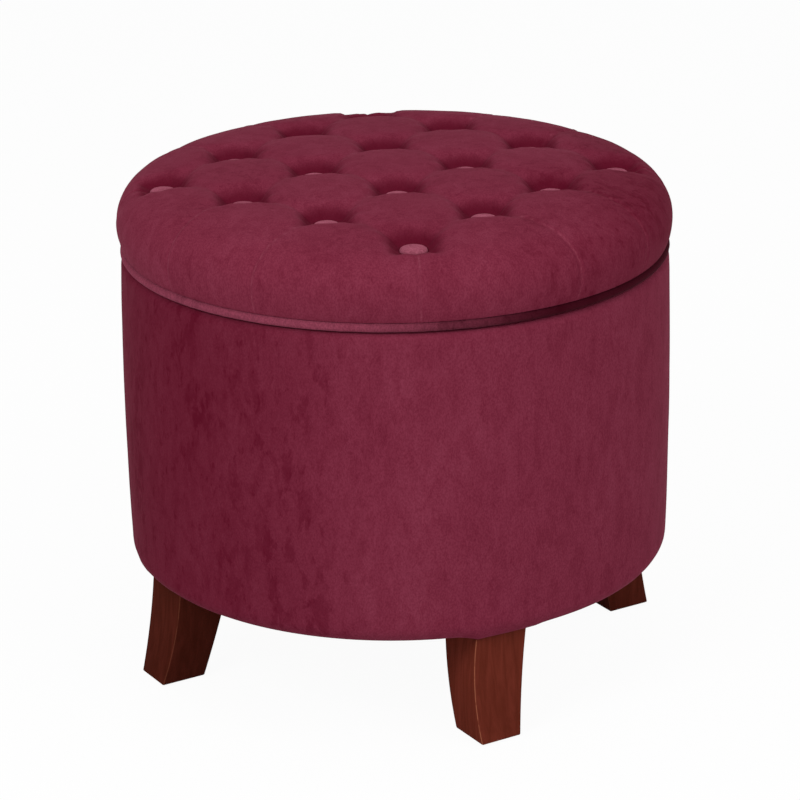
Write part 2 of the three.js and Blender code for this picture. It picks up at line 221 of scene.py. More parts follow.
def turned(name: str, outline: Outline, sides: int) -> bpy.types.Object:
    """Turns an outline about Z, from a ring that is extruded and scaled again and again.

    Args:
        name: the piece's name.
        outline: radius and height of each ring. An end with no radius is closed at a pole, and an
            outline that ends where it starts is closed on itself.
        sides: faces round the piece.

    Returns:
        The new object, with its faces pointing outwards.
    """
    nothing_selected()
    starts_at_pole = outline[0][0] == 0
    ends_at_pole = outline[-1][0] == 0
    rings = outline[1 if starts_at_pole else 0 : -1 if ends_at_pole else None]
    radius, height = rings[0]
    bpy.ops.mesh.primitive_circle_add(vertices=sides, radius=radius, location=(0, 0, height))
    piece = named(name)
    settle(piece)
    with editing(piece):
        if starts_at_pole:
            bpy.ops.mesh.extrude_region_move(
                TRANSFORM_OT_translate={"value": (0, 0, outline[0][1] - height)})
            bpy.ops.mesh.merge(type="CENTER")
            bpy.ops.object.mode_set(mode="OBJECT")
            for vertex in piece.data.vertices:
                vertex.select = math.hypot(*vertex.co.xy) > radius / 2
            bpy.ops.object.mode_set(mode="EDIT")
        ring_upwards(rings)
        if ends_at_pole:
            bpy.ops.mesh.extrude_region_move(
                TRANSFORM_OT_translate={"value": (0, 0, outline[-1][1] - rings[-1][1])})
            bpy.ops.mesh.merge(type="CENTER")
        bpy.ops.mesh.select_all(action="SELECT")
        bpy.ops.mesh.remove_doubles(threshold=1e-6)
        bpy.ops.mesh.normals_make_consistent(inside=False)
    return piece


def arc(centre: tuple[float, float], size: tuple[float, float], start: float, end: float,
        steps: int) -> Outline:
    """Points along part of an ellipse.

    Args:
        centre: radius and height of its middle.
        size: its two half widths.
        start: first angle in degrees.
        end: last angle in degrees.
        steps: stretches between points.

    Returns:
        The points, both ends among them.
    """
    angles = [math.radians(start + (end - start) * i / steps) for i in range(steps + 1)]
    return [(centre[0] + size[0] * math.cos(a), centre[1] + size[1] * math.sin(a)) for a in angles]


def finer(outline: Outline, step: float) -> Outline:
    """The same outline with points no further apart than a step.

    Args:
        outline: radius and height of each point.
        step: the longest stretch left, in metres.

    Returns:
        The longer list.
    """
    result = [outline[0]]
    for (r0, z0), (r1, z1) in zip(outline, outline[1:]):
        count = max(1, math.ceil(math.hypot(r1 - r0, z1 - z0) / step))
        result += [(r0 + (r1 - r0) * i / count, z0 + (z1 - z0) * i / count) for i in range(1, count + 1)]
    return result


# ---- Shader maths ------------------------------------------------------------------------------


class Socket:
    """A shader value that adds its own maths nodes when it is used in an expression."""

    def __init__(self, graph: "Graph", output: bpy.types.NodeSocket) -> None:
        """Wraps an output socket of a graph's node."""
        self.graph = graph
        self.output = output

    def maths(self, operation: str, first: object, second: object = 0.0) -> "Socket":
        """A Math node on two values."""
        return self.graph.add("ShaderNodeMath", {"operation": operation}, {0: first, 1: second})

    def __add__(self, other: object) -> "Socket":
        """self + other."""
        return self.maths("ADD", self, other)

    __radd__ = __add__

    def __sub__(self, other: object) -> "Socket":
        """self - other."""
        return self.maths("SUBTRACT", self, other)

    def __rsub__(self, other: object) -> "Socket":
        """other - self."""
        return self.maths("SUBTRACT", other, self)

    def __mul__(self, other: object) -> "Socket":
        """self * other."""
        return self.maths("MULTIPLY", self, other)

    __rmul__ = __mul__

    def ramp(self, low: float, high: float, to_low: float = 0.0, to_high: float = 1.0) -> "Socket":
        """Maps low...high smoothly to to_low...to_high, and holds the ends.

        Args:
            low: where the change starts.
            high: where it ends.
            to_low: the value below low.
            to_high: the value above high.

        Returns:
            The mapped value.
        """
        return self.graph.add(
            "ShaderNodeMapRange", {"interpolation_type": "SMOOTHSTEP"},
            {"Value": self, "From Min": low, "From Max": high, "To Min": to_low, "To Max": to_high})


class Graph:
    """One material's nodes, with a Principled surface at the end."""

    def __init__(self, name: str) -> None:
        """Makes an empty material."""
        self.material = bpy.data.materials.new(name)
        self.material.use_nodes = True
        self.nodes = self.material.node_tree.nodes
        self.links = self.material.node_tree.links
        self.nodes.clear()

    def add(self, kind: str, settings: dict[str, object] | None = None,
            inputs: dict[object, object] | None = None, output: object = 0) -> Socket:
        """Adds a node.

        Args:
            kind: the node's type.
            settings: its own values, set first.
            inputs: socket name or number to a value or a Socket.
            output: name or number of the socket that is returned.

        Returns:
            The node's output.
        """
        node = self.nodes.new(kind)
        for name, value in (settings or {}).items():
            setattr(node, name, value)
        for name, value in (inputs or {}).items():
            if isinstance(value, Socket):
                self.links.new(value.output, node.inputs[name])
            else:
                node.inputs[name].default_value = value
        return Socket(self, node.outputs[output])

    def place(self, stretch: tuple[float, float, float] = (1, 1, 1), turn: float = 0.0) -> Socket:
        """Object coordinates, stretched and turned about Z.

        Args:
            stretch: the pattern's scale along each axis.
            turn: degrees about Z.

        Returns:
            The coordinates.
        """
        plain = self.add("ShaderNodeTexCoord", output="Object")
        return self.add("ShaderNodeMapping", None, {
            "Vector": plain, "Scale": stretch, "Rotation": (0, 0, math.radians(turn))})

    def noise(self, place: Socket, scale: float, detail: float = 2.0, roughness: float = 0.5,
              distortion: float = 0.0) -> Socket:
        """Noise from 0 to 1.

        Args:
            place: the coordinates.
            scale: waves in a metre.
            detail: octaves.
            roughness: weight of the finer octaves.
            distortion: how far the noise is stirred.

        Returns:
            The noise's value.
        """
        return self.add("ShaderNodeTexNoise", None, {
            "Vector": place, "Scale": scale, "Detail": detail, "Roughness": roughness,
            "Distortion": distortion})

    def mix(self, share: object, first: object, second: object) -> Socket:
        """Mixes two colours.

        Args:
            share: how much of the second is taken.
            first: a colour or a Socket.
            second: a colour or a Socket.

        Returns:
            The mixed colour.
        """
        first, second = ((*c, 1) if isinstance(c, tuple) else c for c in (first, second))
        return self.add("ShaderNodeMix", {"data_type": "RGBA"}, {0: share, 6: first, 7: second}, 2)

    def bump(self, height: Socket, distance: float, strength: float = 1.0) -> Socket:
        """A normal from a height.

        Args:
            height: the height, from 0 to 1.
            distance: the depth that 1 stands for, in metres.
            strength: the share of it that is used.

        Returns:
            The normal.
        """
        return self.add("ShaderNodeBump", None, {
            "Height": height, "Distance": distance, "Strength": strength})

    def surface(self, inputs: dict[str, object]) -> bpy.types.Material:
        """Ends the material with a Principled surface.

        Args:
            inputs: its sockets' values and links.

        Returns:
            The material.
        """
        ready = {name: (*value, 1) if isinstance(value, tuple) and len(value) == 3 else value
                 for name, value in inputs.items()}
        surface = self.add("ShaderNodeBsdfPrincipled", None, ready)
        output = self.nodes.new("ShaderNodeOutputMaterial")
        self.links.new(surface.output, output.inputs["Surface"])
        return self.material


# ---- Finishes ----------------------------------------------------------------------------------


class Direction(Enum):
    """Which way a grain or a weave runs."""

    UPRIGHT = (1.0, 1.0, 0.08)
    LEVEL = (0.08, 1.0, 1.0)


@dataclass(frozen=True)
class Velvet:
    """Cut velvet, darker where the pile is crushed, with painted shade at the bottoms of its dimples.

    It darkens towards the direction "shaded", from shade_from to shade_to metres out: painted shade, one side
    coloured darker as if less light fell on it.
    """

    name: str
    shaded: tuple[float, float, float]
    shade_from: float
    shade_to: float
    pile: Colour = (0.178, 0.0235, 0.0475)
    # The darkest pile: the colour of crushed pile and fibre grain, and of the painted shade.
    dark_pile_and_shade: Colour = (0.086, 0.0028, 0.0130)
    brushed: Colour = (0.208, 0.0330, 0.0620)
    # Paler pile along the pleats: a painted highlight where the folds catch the light.
    pleat_highlight: Colour = (0.32, 0.075, 0.115)
    sheen: float = 0.045
    side_shade_depth: float = 0.62

    def material(self) -> bpy.types.Material:
        """Builds the material; the mesh's own attribute "hollow_shade" marks where painted shade darkens the
        bottoms of its dimples.
        """
        g = Graph(self.name)
        place = g.place()
        upright = g.place((1, 1, 0.45))
        lean = g.add("ShaderNodeVectorMath", {"operation": "DOT_PRODUCT"},
                     {0: place, 1: self.shaded}, "Value")
        hollow_shade = g.add("ShaderNodeAttribute", {"attribute_name": "hollow_shade"}, output="Fac")
        crease = g.add("ShaderNodeAttribute", {"attribute_name": "crease"}, output="Fac")
        cloud = g.noise(upright, 13, 4, 0.6, 0.5)
        mark = g.noise(upright, 84, 4, 0.68, 0.4)
        speck = g.noise(upright, 210, 3, 0.6)
        grain = g.noise(g.place((1, 1, 0.6)), 780, 2, 0.6)
        # side is painted shade: 0 on the lit side, rising to 1 on the side coloured darker; crushed pile and
        # specks gather there too.
        side = (lean + (cloud - 0.5) * 0.12).ramp(self.shade_from, self.shade_to)
        crushed = cloud.ramp(0.40, 0.62, 0.15, 0.85) * mark.ramp(0.46, 0.60) * (side * 0.72 + 0.28)
        dots = speck.ramp(0.56, 0.68, 0.0, 0.75) * mark.ramp(0.40, 0.58, 0.2, 1.0) * (side * 0.7 + 0.3)
        # shade gathers the painted side shade and the painted shade in the hollows with the crushed pile and
        # specks that the velvet has itself.
        shade = 1 - (1 - side * self.side_shade_depth) * (1 - crushed) * (1 - dots) * (1 - hollow_shade * 0.85)
        base = g.mix(cloud.ramp(0.58, 0.34) * mark.ramp(0.56, 0.40) * 0.6, self.pile, self.brushed)
        base = g.mix(speck.ramp(0.46, 0.34) * (side * 0.45 + 0.15), base, self.brushed)
        # A painted highlight along each pleat.
        base = g.mix(crease * speck.ramp(0.38, 0.60, 0.08, 0.55), base, self.pleat_highlight)
        base = g.mix(shade, base, self.dark_pile_and_shade)
        base = g.mix(grain.ramp(0.34, 0.66, 0.0, 0.34), base, self.dark_pile_and_shade)
        height = mark * 0.3 - crushed * 0.35 + speck * 0.25 + grain * 0.4
        return g.surface({
            "Base Color": base,
            "Roughness": 0.95,
            "Specular IOR Level": 0.03,
            "Sheen Weight": self.sheen,
            "Sheen Roughness": 0.35,
            "Sheen Tint": (0.95, 0.35, 0.45),
            "Normal": g.bump(height, 0.0007, 0.6),
        })


@dataclass(frozen=True)
class StainedWood:
    """Hardwood under a dark stain, paler along its arrises from wear and a painted highlight; less strength
    is painted shade, a darker leg.
    """

    name: str
    strength: float = 1.0
    stain: Colour = (0.150, 0.0275, 0.0170)
    dark: Colour = (0.086, 0.0150, 0.0078)
    rubbed_and_highlight: Colour = (0.46, 0.17, 0.09)

    def material(self) -> bpy.types.Material:
        """Builds the material; the mesh's own attribute "arris" marks where it is worn and where a painted
        highlight runs.
        """
        g = Graph(self.name)
        place = g.place((1, 1, 0.055))
        grain = g.noise(place, 170, 5, 0.6, 0.6)
        pores = g.noise(g.place((1, 1, 0.03)), 900, 2, 0.5)
        cloud = g.noise(g.place(), 14, 2)
        arris = g.add("ShaderNodeAttribute", {"attribute_name": "arris"}, output="Fac")
        # Wear and a painted highlight along the arrises, broken by noise.
        worn = arris * g.noise(g.place(), 60, 3).ramp(0.34, 0.50)
        base = g.mix(grain.ramp(0.30, 0.70, 0.25, 1.0), self.dark, self.stain)
        base = g.mix(cloud.ramp(0.35, 0.65, 0.0, 0.35), base, self.dark)
        base = g.mix(pores.ramp(0.60, 0.72, 0.0, 0.35), base, self.dark)
        # Painted shade: a leg with less strength is mixed towards black, as if it stood in shadow.
        base = g.mix(1 - self.strength, base, (0.0, 0.0, 0.0))
        base = g.mix(worn * 0.8, base, self.rubbed_and_highlight)
        return g.surface({
            "Base Color": base,
            "Roughness": grain.ramp(0.3, 0.7, 0.50, 0.40),
            "Specular IOR Level": 0.0,
            "Coat Weight": 0.01,
            "Coat Roughness": 0.22,
            "Normal": g.bump(grain * 0.6 + pores * -0.4, 0.00025, 0.7),
        })


@dataclass(frozen=True)
class RawWood:
    """Unfinished board or timber: plywood, hardboard or sawn softwood."""

    name: str
    light: Colour
    dark: Colour
    grain: float = 120.0
    run: Direction = Direction.LEVEL
    plies: float = 0.0

    def material(self) -> bpy.types.Material:
        """Builds the material, with the edges of its plies where it has any."""
        g = Graph(self.name)
        grain = g.noise(g.place(self.run.value), self.grain, 5, 0.6, 0.8)
        fleck = g.noise(g.place(), self.grain * 6, 2)
        base = g.mix(grain.ramp(0.32, 0.70), self.light, self.dark)
        base = g.mix(fleck.ramp(0.62, 0.75, 0.0, 0.35), base, self.dark)
        if self.plies:
            normal = g.add("ShaderNodeNewGeometry", output="True Normal")
            upward = g.add("ShaderNodeSeparateXYZ", None, {0: normal}, "Z")
            edge = (upward * upward).ramp(0.5, 0.1)
            wave = g.add("ShaderNodeTexWave", {"bands_direction": "Z"},
                         {"Vector": g.place(), "Scale": self.plies, "Distortion": 0.4})
            base = g.mix(wave.ramp(0.35, 0.6) * edge, base, self.dark)
        return g.surface({
            "Base Color": base,
            "Roughness": grain.ramp(0.3, 0.7, 0.72, 0.86),
            "Specular IOR Level": 0.3,
            "Normal": g.bump(grain * 0.7 + fleck * 0.3, 0.0003, 0.7),
        })


@dataclass(frozen=True)
class Foam:
    """Cut open-cell upholstery foam."""

    name: str
    colour: Colour = (0.74, 0.63, 0.34)
    shade: Colour = (0.52, 0.42, 0.20)

    def material(self) -> bpy.types.Material:
        """Builds the material."""
        g = Graph(self.name)
        cells = g.add("ShaderNodeTexVoronoi", None, {"Vector": g.place(), "Scale": 700.0}, "Distance")
        cloud = g.noise(g.place(), 25, 3)
        base = g.mix(cells.ramp(0.45, 0.05), self.colour, self.shade)
        base = g.mix(cloud.ramp(0.35, 0.7, 0.0, 0.3), base, self.shade)
        return g.surface({
            "Base Color": base,
            "Roughness": 0.95,
            "Specular IOR Level": 0.1,
            "Normal": g.bump(cells, 0.0006, 0.8),
        })


@dataclass(frozen=True)
class LiningCloth:
    """Black non-woven cloth, pressed with a fine grid of dots."""

    name: str
    colour: Colour = (0.016, 0.015, 0.017)
    worn: Colour = (0.045, 0.042, 0.045)

    def material(self) -> bpy.types.Material:
        """Builds the material."""
        g = Graph(self.name)
        place = g.place(turn=45)
        dots = g.add("ShaderNodeTexVoronoi", None,
                     {"Vector": place, "Scale": 420.0, "Randomness": 0.15}, "Distance")
        fuzz = g.noise(place, 900, 3)
        cloud = g.noise(place, 18, 3)
        base = g.mix(cloud.ramp(0.35, 0.7, 0.0, 0.6), self.colour, self.worn)
        base = g.mix(dots.ramp(0.30, 0.10, 0.0, 0.5), base, self.colour)
        return g.surface({
            "Base Color": base,
            "Roughness": fuzz.ramp(0.3, 0.7, 0.8, 0.95),
            "Specular IOR Level": 0.2,
            "Sheen Weight": 0.15,
            "Normal": g.bump(dots * 0.7 + fuzz * 0.3, 0.0003, 0.7),
        })


@dataclass(frozen=True)
class Zinc:
    """Zinc-plated steel, slightly clouded."""

    name: str
    colour: Colour = (0.56, 0.57, 0.60)
    cloudy: Colour = (0.40, 0.40, 0.41)

    def material(self) -> bpy.types.Material:
        """Builds the material."""
        g = Graph(self.name)
        cloud = g.noise(g.place(), 260, 4)
        return g.surface({
            "Base Color": g.mix(cloud.ramp(0.35, 0.7), self.colour, self.cloudy),
            "Metallic": 1.0,
            "Roughness": cloud.ramp(0.3, 0.7, 0.28, 0.46),
            "Normal": g.bump(g.noise(g.place((1, 1, 4)), 600, 2), 0.0001, 0.5),
        })


@dataclass(frozen=True)
class MouldedPlastic:
    """Moulded plastic with a fine spark-eroded skin, scuffed a little."""

    name: str
    colour: Colour = (0.030, 0.019, 0.014)
    scuffed: Colour = (0.085, 0.065, 0.055)

    def material(self) -> bpy.types.Material:
        """Builds the material."""
        g = Graph(self.name)
        skin = g.noise(g.place(), 1800, 2)
        scuff = g.noise(g.place((1, 1, 0.3)), 190, 4).ramp(0.55, 0.72)
        return g.surface({
            "Base Color": g.mix(scuff * 0.6, self.colour, self.scuffed),
            "Roughness": scuff.ramp(0.0, 1.0, 0.42, 0.65),
            "Normal": g.bump(skin, 0.0001, 0.5),
        })


# ---- The studio --------------------------------------------------------------------------------


@dataclass(frozen=True)
class Lamp:
    """A soft square lamp: degrees to the camera's right, degrees up, width in metres and watts."""

    name: str
    turn: float
    rise: float
    size: float
    power: float


LAMPS = (
    Lamp("key_lamp", turn=-38, rise=36, size=1.3, power=45.0),
    Lamp("fill_lamp", turn=52, rise=34, size=1.8, power=34.0),
    Lamp("top_lamp", turn=0, rise=84, size=1.6, power=14.0),
)


@dataclass
class Studio:
    """The camera, the floor, the backdrop and the lamps."""

    azimuth: float = 23.4
    distance: float = 2.849
    height: float = 1.2762
    pitch: float = 20.05
    roll: float = 0.81
    lens: float = 149.8
    shift: float = 0.0036
    floor_size: float = 14.0
    floor_glow: float = 0.955
    ambient: float = 0.44
    lamp_distance: float = 3.2
    lamp_aim: float = 0.25

    def camera(self) -> None:
        """Puts the camera in its place and makes it the scene's."""
        turn = math.radians(self.azimuth)
        bpy.ops.object.camera_add(
            location=(self.distance * math.sin(turn), -self.distance * math.cos(turn), self.height))
        camera = bpy.context.object
        camera.name = "camera"
        aim = (Matrix.Rotation(turn, 3, "Z") @ Matrix.Rotation(math.radians(90 - self.pitch), 3, "X")
               @ Matrix.Rotation(math.radians(-self.roll), 3, "Z"))
        camera.rotation_euler = aim.to_euler()
        camera.data.lens = self.lens
        camera.data.sensor_width = 36
        camera.data.shift_x = self.shift
        camera.data.clip_end = 50
        bpy.context.scene.camera = camera

    def backdrop(self) -> None:
        """A white world for the camera, a soft grey one for the light, and a pale floor."""
        scene = bpy.context.scene
        scene.view_settings.view_transform = "Standard"
        world = bpy.data.worlds.new("studio_world")
        scene.world = world
        world.use_nodes = True
        nodes, links = world.node_tree.nodes, world.node_tree.links
        nodes.clear()
        white, soft, mix, seen, output = (nodes.new(kind) for kind in (
            "ShaderNodeBackground", "ShaderNodeBackground", "ShaderNodeMixShader", "ShaderNodeLightPath",
            "ShaderNodeOutputWorld"))
        soft.inputs["Color"].default_value = (1, 1, 1, 1)
        soft.inputs["Strength"].default_value = self.ambient
        most = self.seen_directly(nodes, links, seen)
        links.new(most, mix.inputs[0])
        links.new(soft.outputs[0], mix.inputs[1])
        links.new(white.outputs[0], mix.inputs[2])
        white.inputs["Color"].default_value = (1, 1, 1, 1)
        links.new(mix.outputs[0], output.inputs["Surface"])
        bpy.ops.mesh.primitive_plane_add(size=self.floor_size)
        floor = named("floor")
        with editing(floor, "FACE"):
            bpy.ops.mesh.subdivide(number_cuts=3)
        floor.data.materials.append(self.floor_material())

    @staticmethod
    def seen_directly(nodes: bpy.types.Nodes, links: bpy.types.NodeLinks,
                      seen: bpy.types.Node) -> bpy.types.NodeSocket:
        """1 where the camera looks, straight or by a mirror or a glass.

        Args:
            nodes: the tree's nodes.
            links: the tree's links.
            seen: its Light Path node.

        Returns:
            The share as a socket.
        """
        total = seen.outputs["Is Camera Ray"]
        for name in ("Is Glossy Ray", "Is Transmission Ray"):
            larger = nodes.new("ShaderNodeMath")
            larger.operation = "MAXIMUM"
            links.new(total, larger.inputs[0])
            links.new(seen.outputs[name], larger.inputs[1])
            total = larger.outputs[0]
        return total

    def floor_material(self) -> bpy.types.Material:
        """Pale floor that shows almost white to the camera and still takes a soft shadow."""
        material = bpy.data.materials.new("floor_paper")
        material.use_nodes = True
        nodes, links = material.node_tree.nodes, material.node_tree.links
        nodes.clear()
        paper, glow, mix, seen, share, output = (nodes.new(kind) for kind in (
            "ShaderNodeBsdfDiffuse", "ShaderNodeEmission", "ShaderNodeMixShader", "ShaderNodeLightPath",
            "ShaderNodeMath", "ShaderNodeOutputMaterial"))
        paper.inputs["Color"].default_value = (0.86, 0.86, 0.86, 1)
        glow.inputs["Color"].default_value = (1, 1, 1, 1)
        glow.inputs["Strength"].default_value = 1.0
        share.operation = "MULTIPLY"
        links.new(self.seen_directly(nodes, links, seen), share.inputs[0])
        share.inputs[1].default_value = self.floor_glow
        links.new(share.outputs[0], mix.inputs[0])
        links.new(paper.outputs[0], mix.inputs[1])
        links.new(glow.outputs[0], mix.inputs[2])
        links.new(mix.outputs[0], output.inputs["Surface"])
        return material

    def lamps(self) -> None:
        """Three soft lamps, placed as the camera sees them: left, right and above."""
        far = self.lamp_distance
        for soft in LAMPS:
            around = math.radians(self.azimuth + soft.turn)
            up = math.radians(soft.rise)
            place = Vector((far * math.sin(around) * math.cos(up), -far * math.cos(around) * math.cos(up),
                            self.lamp_aim + far * math.sin(up)))
            bpy.ops.object.light_add(type="AREA", location=place)
            lamp = bpy.context.object
            lamp.name = soft.name
            aim = Vector((0, 0, self.lamp_aim)) - place
            lamp.rotation_euler = aim.to_track_quat("-Z", "Y").to_euler()
            lamp.data.size = soft.size
            lamp.data.energy = soft.power

    def build(self) -> None:
        """Makes the whole studio."""
        self.camera()
        self.backdrop()
        self.lamps()


def dressed(piece: bpy.types.Object, body: str, material: bpy.types.Material, slot: str,
            *nodes: str) -> bpy.types.Object:
    """Gives a new piece its material and its body, and hides the CAD nodes that it stands for.

    Args:
        piece: the finished piece.
        body: the body it rides on.
        material: its finish.
        slot: the record's material slot; not used.
        nodes: CAD nodes that it replaces.

    Returns:
        The piece.
    """
    piece.data.materials.clear()
    piece.data.materials.append(material)
    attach(piece, body)
    if nodes:
        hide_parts(*nodes)
    LOG.info("%s: %d faces", piece.name, len(piece.data.polygons))
    return piece


def smooth(piece: bpy.types.Object, angle: float = 40.0) -> None:
    """Smooth shading up to an angle in degrees."""
    only(piece)
    bpy.ops.object.shade_smooth_by_angle(angle=math.radians(angle))


def refinish(material: bpy.types.Material, *nodes: str) -> None:
    """Gives CAD nodes that stay as they are a better material.

    Args:
        material: the finish.
        nodes: the nodes' names.
    """
    for node in nodes:
        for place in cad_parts[node].material_slots:
            place.material = material
        LOG.info("%s: kept, finished as %s", node, material.name)


def crowded(piece: bpy.types.Object, lines: Sequence[float], sides: int, crowd: float = 0.85) -> None:
    """Shifts the columns of a turned piece round its axis, so that they stand close by its folds.

    Args:
        piece: the turned piece.
        lines: the folds' angles, in radians.
        sides: how many columns the piece has.
        crowd: 0 leaves even gaps between two folds, 1 closes the gap beside a fold.
    """
    lines = sorted(line % math.tau for line in lines)
    gaps = [(after - before) % math.tau or math.tau for before, after in zip(lines, lines[1:] + lines[:1])]
    counts = [round(gap / math.tau * sides) for gap in gaps]
    counts[-1] += sides - sum(counts)
    angles = []
    for line, gap, count in zip(lines, gaps, counts):
        for i in range(count):
            share = i / count
            angles.append(line + gap * (share - crowd * math.sin(math.tau * share) / math.tau))
    points = points_of(piece)
    radius = radius_of(points)
    start = math.pi / 2
    column = np.round((angle_of(points) - start) / math.tau * sides).astype(int) % sides
    offset = int(round((lines[0] - start) / math.tau * sides))
    angle = np.array(angles)[(column - offset) % sides]
    points[:, 0] = radius * np.cos(angle)
    points[:, 1] = radius * np.sin(angle)
    set_points(piece, points)


# ---- The drum ----------------------------------------------------------------------------------


@dataclass
class Drum:
    """The padded drum: velvet cover, foam, black lining in the store and black cloth underneath."""

    radius: float = 245.0 * MM
    bulge: float = 2.0 * MM
    bottom: float = 97.9 * MM
    rim: float = 383.9 * MM
    edge_out: float = 27.6 * MM
    edge_up: float = 19.0 * MM
    top_edge: float = 8.0 * MM
    cloth: float = 1.2 * MM
    gap: float = 0.3 * MM
    wrap: float = 172.6 * MM
    mouth: float = 203.7 * MM
    hem: float = 347.9 * MM
    wall: float = 235.5 * MM
    floor: float = 111.7 * MM
    seam_at: float = 115.7
    sides: int = 288

    def side(self, inset: float) -> Outline:
        """The padded side from under its bottom edge to its top edge, set in by an amount.

        Args:
            inset: how far inside the velvet's face the line runs.

        Returns:
            Radius and height of its points, upwards.
        """
        low = self.bottom + self.edge_up
        high = self.rim - self.top_edge
        steps = 24
        foot = arc((self.radius - self.edge_out, low), (self.edge_out - inset, self.edge_up - inset),
                   -90, 0, 10)
        rise = [(self.radius - inset + self.bulge * math.sin(math.pi * i / steps),
                 low + (high - low) * i / steps) for i in range(1, steps)]
        head = arc((self.radius - self.top_edge, high), (self.top_edge - inset, self.top_edge - inset),
                   0, 90, 6)
        return foot + rise + head

    def velvet(self, finish: bpy.types.Material) -> bpy.types.Object:
        """The cover: from under the base, round the side and over the rim to its hem in the mouth."""
        bend = 2.5 * MM
        corner = arc((self.mouth + bend, self.rim - bend), (bend, bend), 90, 180, 4)
        outline = [(self.wrap, self.bottom)] + self.side(0) + corner + [(self.mouth, self.hem)]
        cover = turned("body_velvet", finer(outline, 6 * MM), self.sides)
        seam = math.radians(self.seam_at)
        crowded(cover, [seam], self.sides, 0.6)
        points = points_of(cover)
        normals = normals_of(cover)
        height = points[:, 2]
        on_side = np.clip((height - self.bottom - 4 * MM) / (20 * MM), 0, 1) * np.clip(
            (self.rim - 4 * MM - height) / (14 * MM), 0, 1)
        on_side *= radius_of(points) > self.mouth + 5 * MM
        across = (angle_of(points) - seam + math.pi) % math.tau - math.pi
        across *= self.radius
        sewn = -0.9 * MM * np.exp(-(across / (1.6 * MM)) ** 2) + 0.35 * MM * np.exp(
            -((np.abs(across) - 4 * MM) / (2.5 * MM)) ** 2)
        waves = 0.55 * MM * ripple(points * (1, 1, 0.6), 90 * MM, 3.1)
        soft = waves + 0.22 * MM * ripple(points, 28 * MM, 8.7)
        points += normals * ((soft + sewn) * on_side)[:, None]
        points[:, 2] -= self.pressed(points)
        set_points(cover, points)
        apply(cover, "SOLIDIFY", thickness=self.cloth, offset=-1)
        smooth(cover)
        dressed(cover, "base", finish, "velvet", "body_cover")
        return cover

    def pressed(self, points: np.ndarray) -> np.ndarray:
        """How far the soft bottom edge sags on to the tops of the legs.

        Args:
            points: rows of x, y, z on the cover.

        Returns:
            The drop at each point, in metres.
        """
        legs = Legs()
        drop = np.zeros(len(points))
        for angle, bolt_x, bolt_y in legs.bolts():
            turn = angle + math.radians(legs.twist)
            x = points[:, 0] - bolt_x
            y = points[:, 1] - bolt_y
            along = np.abs(x * math.cos(turn) + y * math.sin(turn)) - legs.top_size / 2
            across = np.abs(y * math.cos(turn) - x * math.sin(turn)) - legs.top_size / 2
            far = np.hypot(np.maximum(along, 0), np.maximum(across, 0))
            near = np.exp(-(far / (9 * MM)) ** 2)
            drop = np.maximum(drop, near * np.clip(points[:, 2] - self.bottom, 0, 7 * MM))
        return drop * (points[:, 2] < self.bottom + self.edge_up)

    def padding(self, finish: bpy.types.Material) -> bpy.types.Object:
        """The foam round the drum's wall."""
        outer = [point for point in self.side(self.cloth + self.gap) if point[0] > self.wall]
        outline = [(self.wall, outer[0][1])] + outer + [(self.wall, outer[-1][1]), (self.wall, outer[0][1])]
        foam = turned("body_foam", finer(outline, 16 * MM), 96)
        points = points_of(foam)
        outside = np.clip((radius_of(points) - self.wall - 2 * MM) / (5 * MM), 0, 1)
        points -= normals_of(foam) * (outside * 0.4 * MM * (1 + ripple(points, 30 * MM, 5.2)))[:, None]
        set_points(foam, points)
        smooth(foam)
        dressed(foam, "base", finish, "foam", "body_padding")
        return foam

    def lining(self, finish: bpy.types.Material) -> bpy.types.Object:
        """The black cloth cup that lines the store."""
        outer = self.mouth + self.cloth
        top = self.hem - self.gap
        base = self.floor
        bend = 4 * MM
        corner = arc((outer - bend, base + bend), (bend, bend), -90, 0, 4)
        outline = [(0, base), (outer - bend, base)] + corner[1:] + [(outer, top)]
        cup = turned("store_lining", finer(outline, 12 * MM), 128)
        with editing(cup):
            bpy.ops.mesh.normals_make_consistent(inside=False)
        apply(cup, "SOLIDIFY", thickness=1.2 * MM, offset=-1)
        points = points_of(cup)
        radius = radius_of(points)
        inside = (radius < outer - 0.6 * MM) & (points[:, 2] > base + 0.6 * MM)
        sag = 0.5 * MM * (1 + ripple(points * (1, 1, 0.5), 45 * MM, 2.4)) * inside
        inward = np.stack([-points[:, 0], -points[:, 1], np.zeros(len(points))], 1)
        inward = inward / np.maximum(radius, 1e-6)[:, None]
        on_floor = radius < outer - 8 * MM
        loose = sag * (points[:, 2] < top - 5 * MM)
        points += np.where(on_floor[:, None], (0, 0, 1), inward) * loose[:, None]
        set_points(cup, points)
        smooth(cup)
        dressed(cup, "base", finish, "black_cloth", "storage_lining")
        return cup

    def underside(self, finish: bpy.types.Material) -> bpy.types.Object:
        """The black dust cloth stapled under the base."""
        top = self.bottom + 1.2 * MM
        radius = self.wrap - self.gap
        cloth = turned("dust_cloth", finer([(radius, top), (0, top)], 9 * MM), 96)
        with editing(cloth):
            bpy.ops.mesh.normals_make_consistent(inside=False)
        points = points_of(cloth)
        from_edge = (radius - radius_of(points)) / (30 * MM)
        sag = 0.5 - 0.5 * np.cos(np.clip(from_edge, 0, 1) * math.pi)
        points[:, 2] -= sag * 0.35 * MM * (1 + ripple(points, 50 * MM, 7.7))
        set_points(cloth, points)
        apply(cloth, "SOLIDIFY", thickness=0.8 * MM, offset=1 if cloth.data.polygons[0].normal.z < 0 else -1)
        smooth(cloth)
        dressed(cloth, "base", finish, "black_cloth", "dust_cover")
        return cloth


# ---- The legs ----------------------------------------------------------------------------------


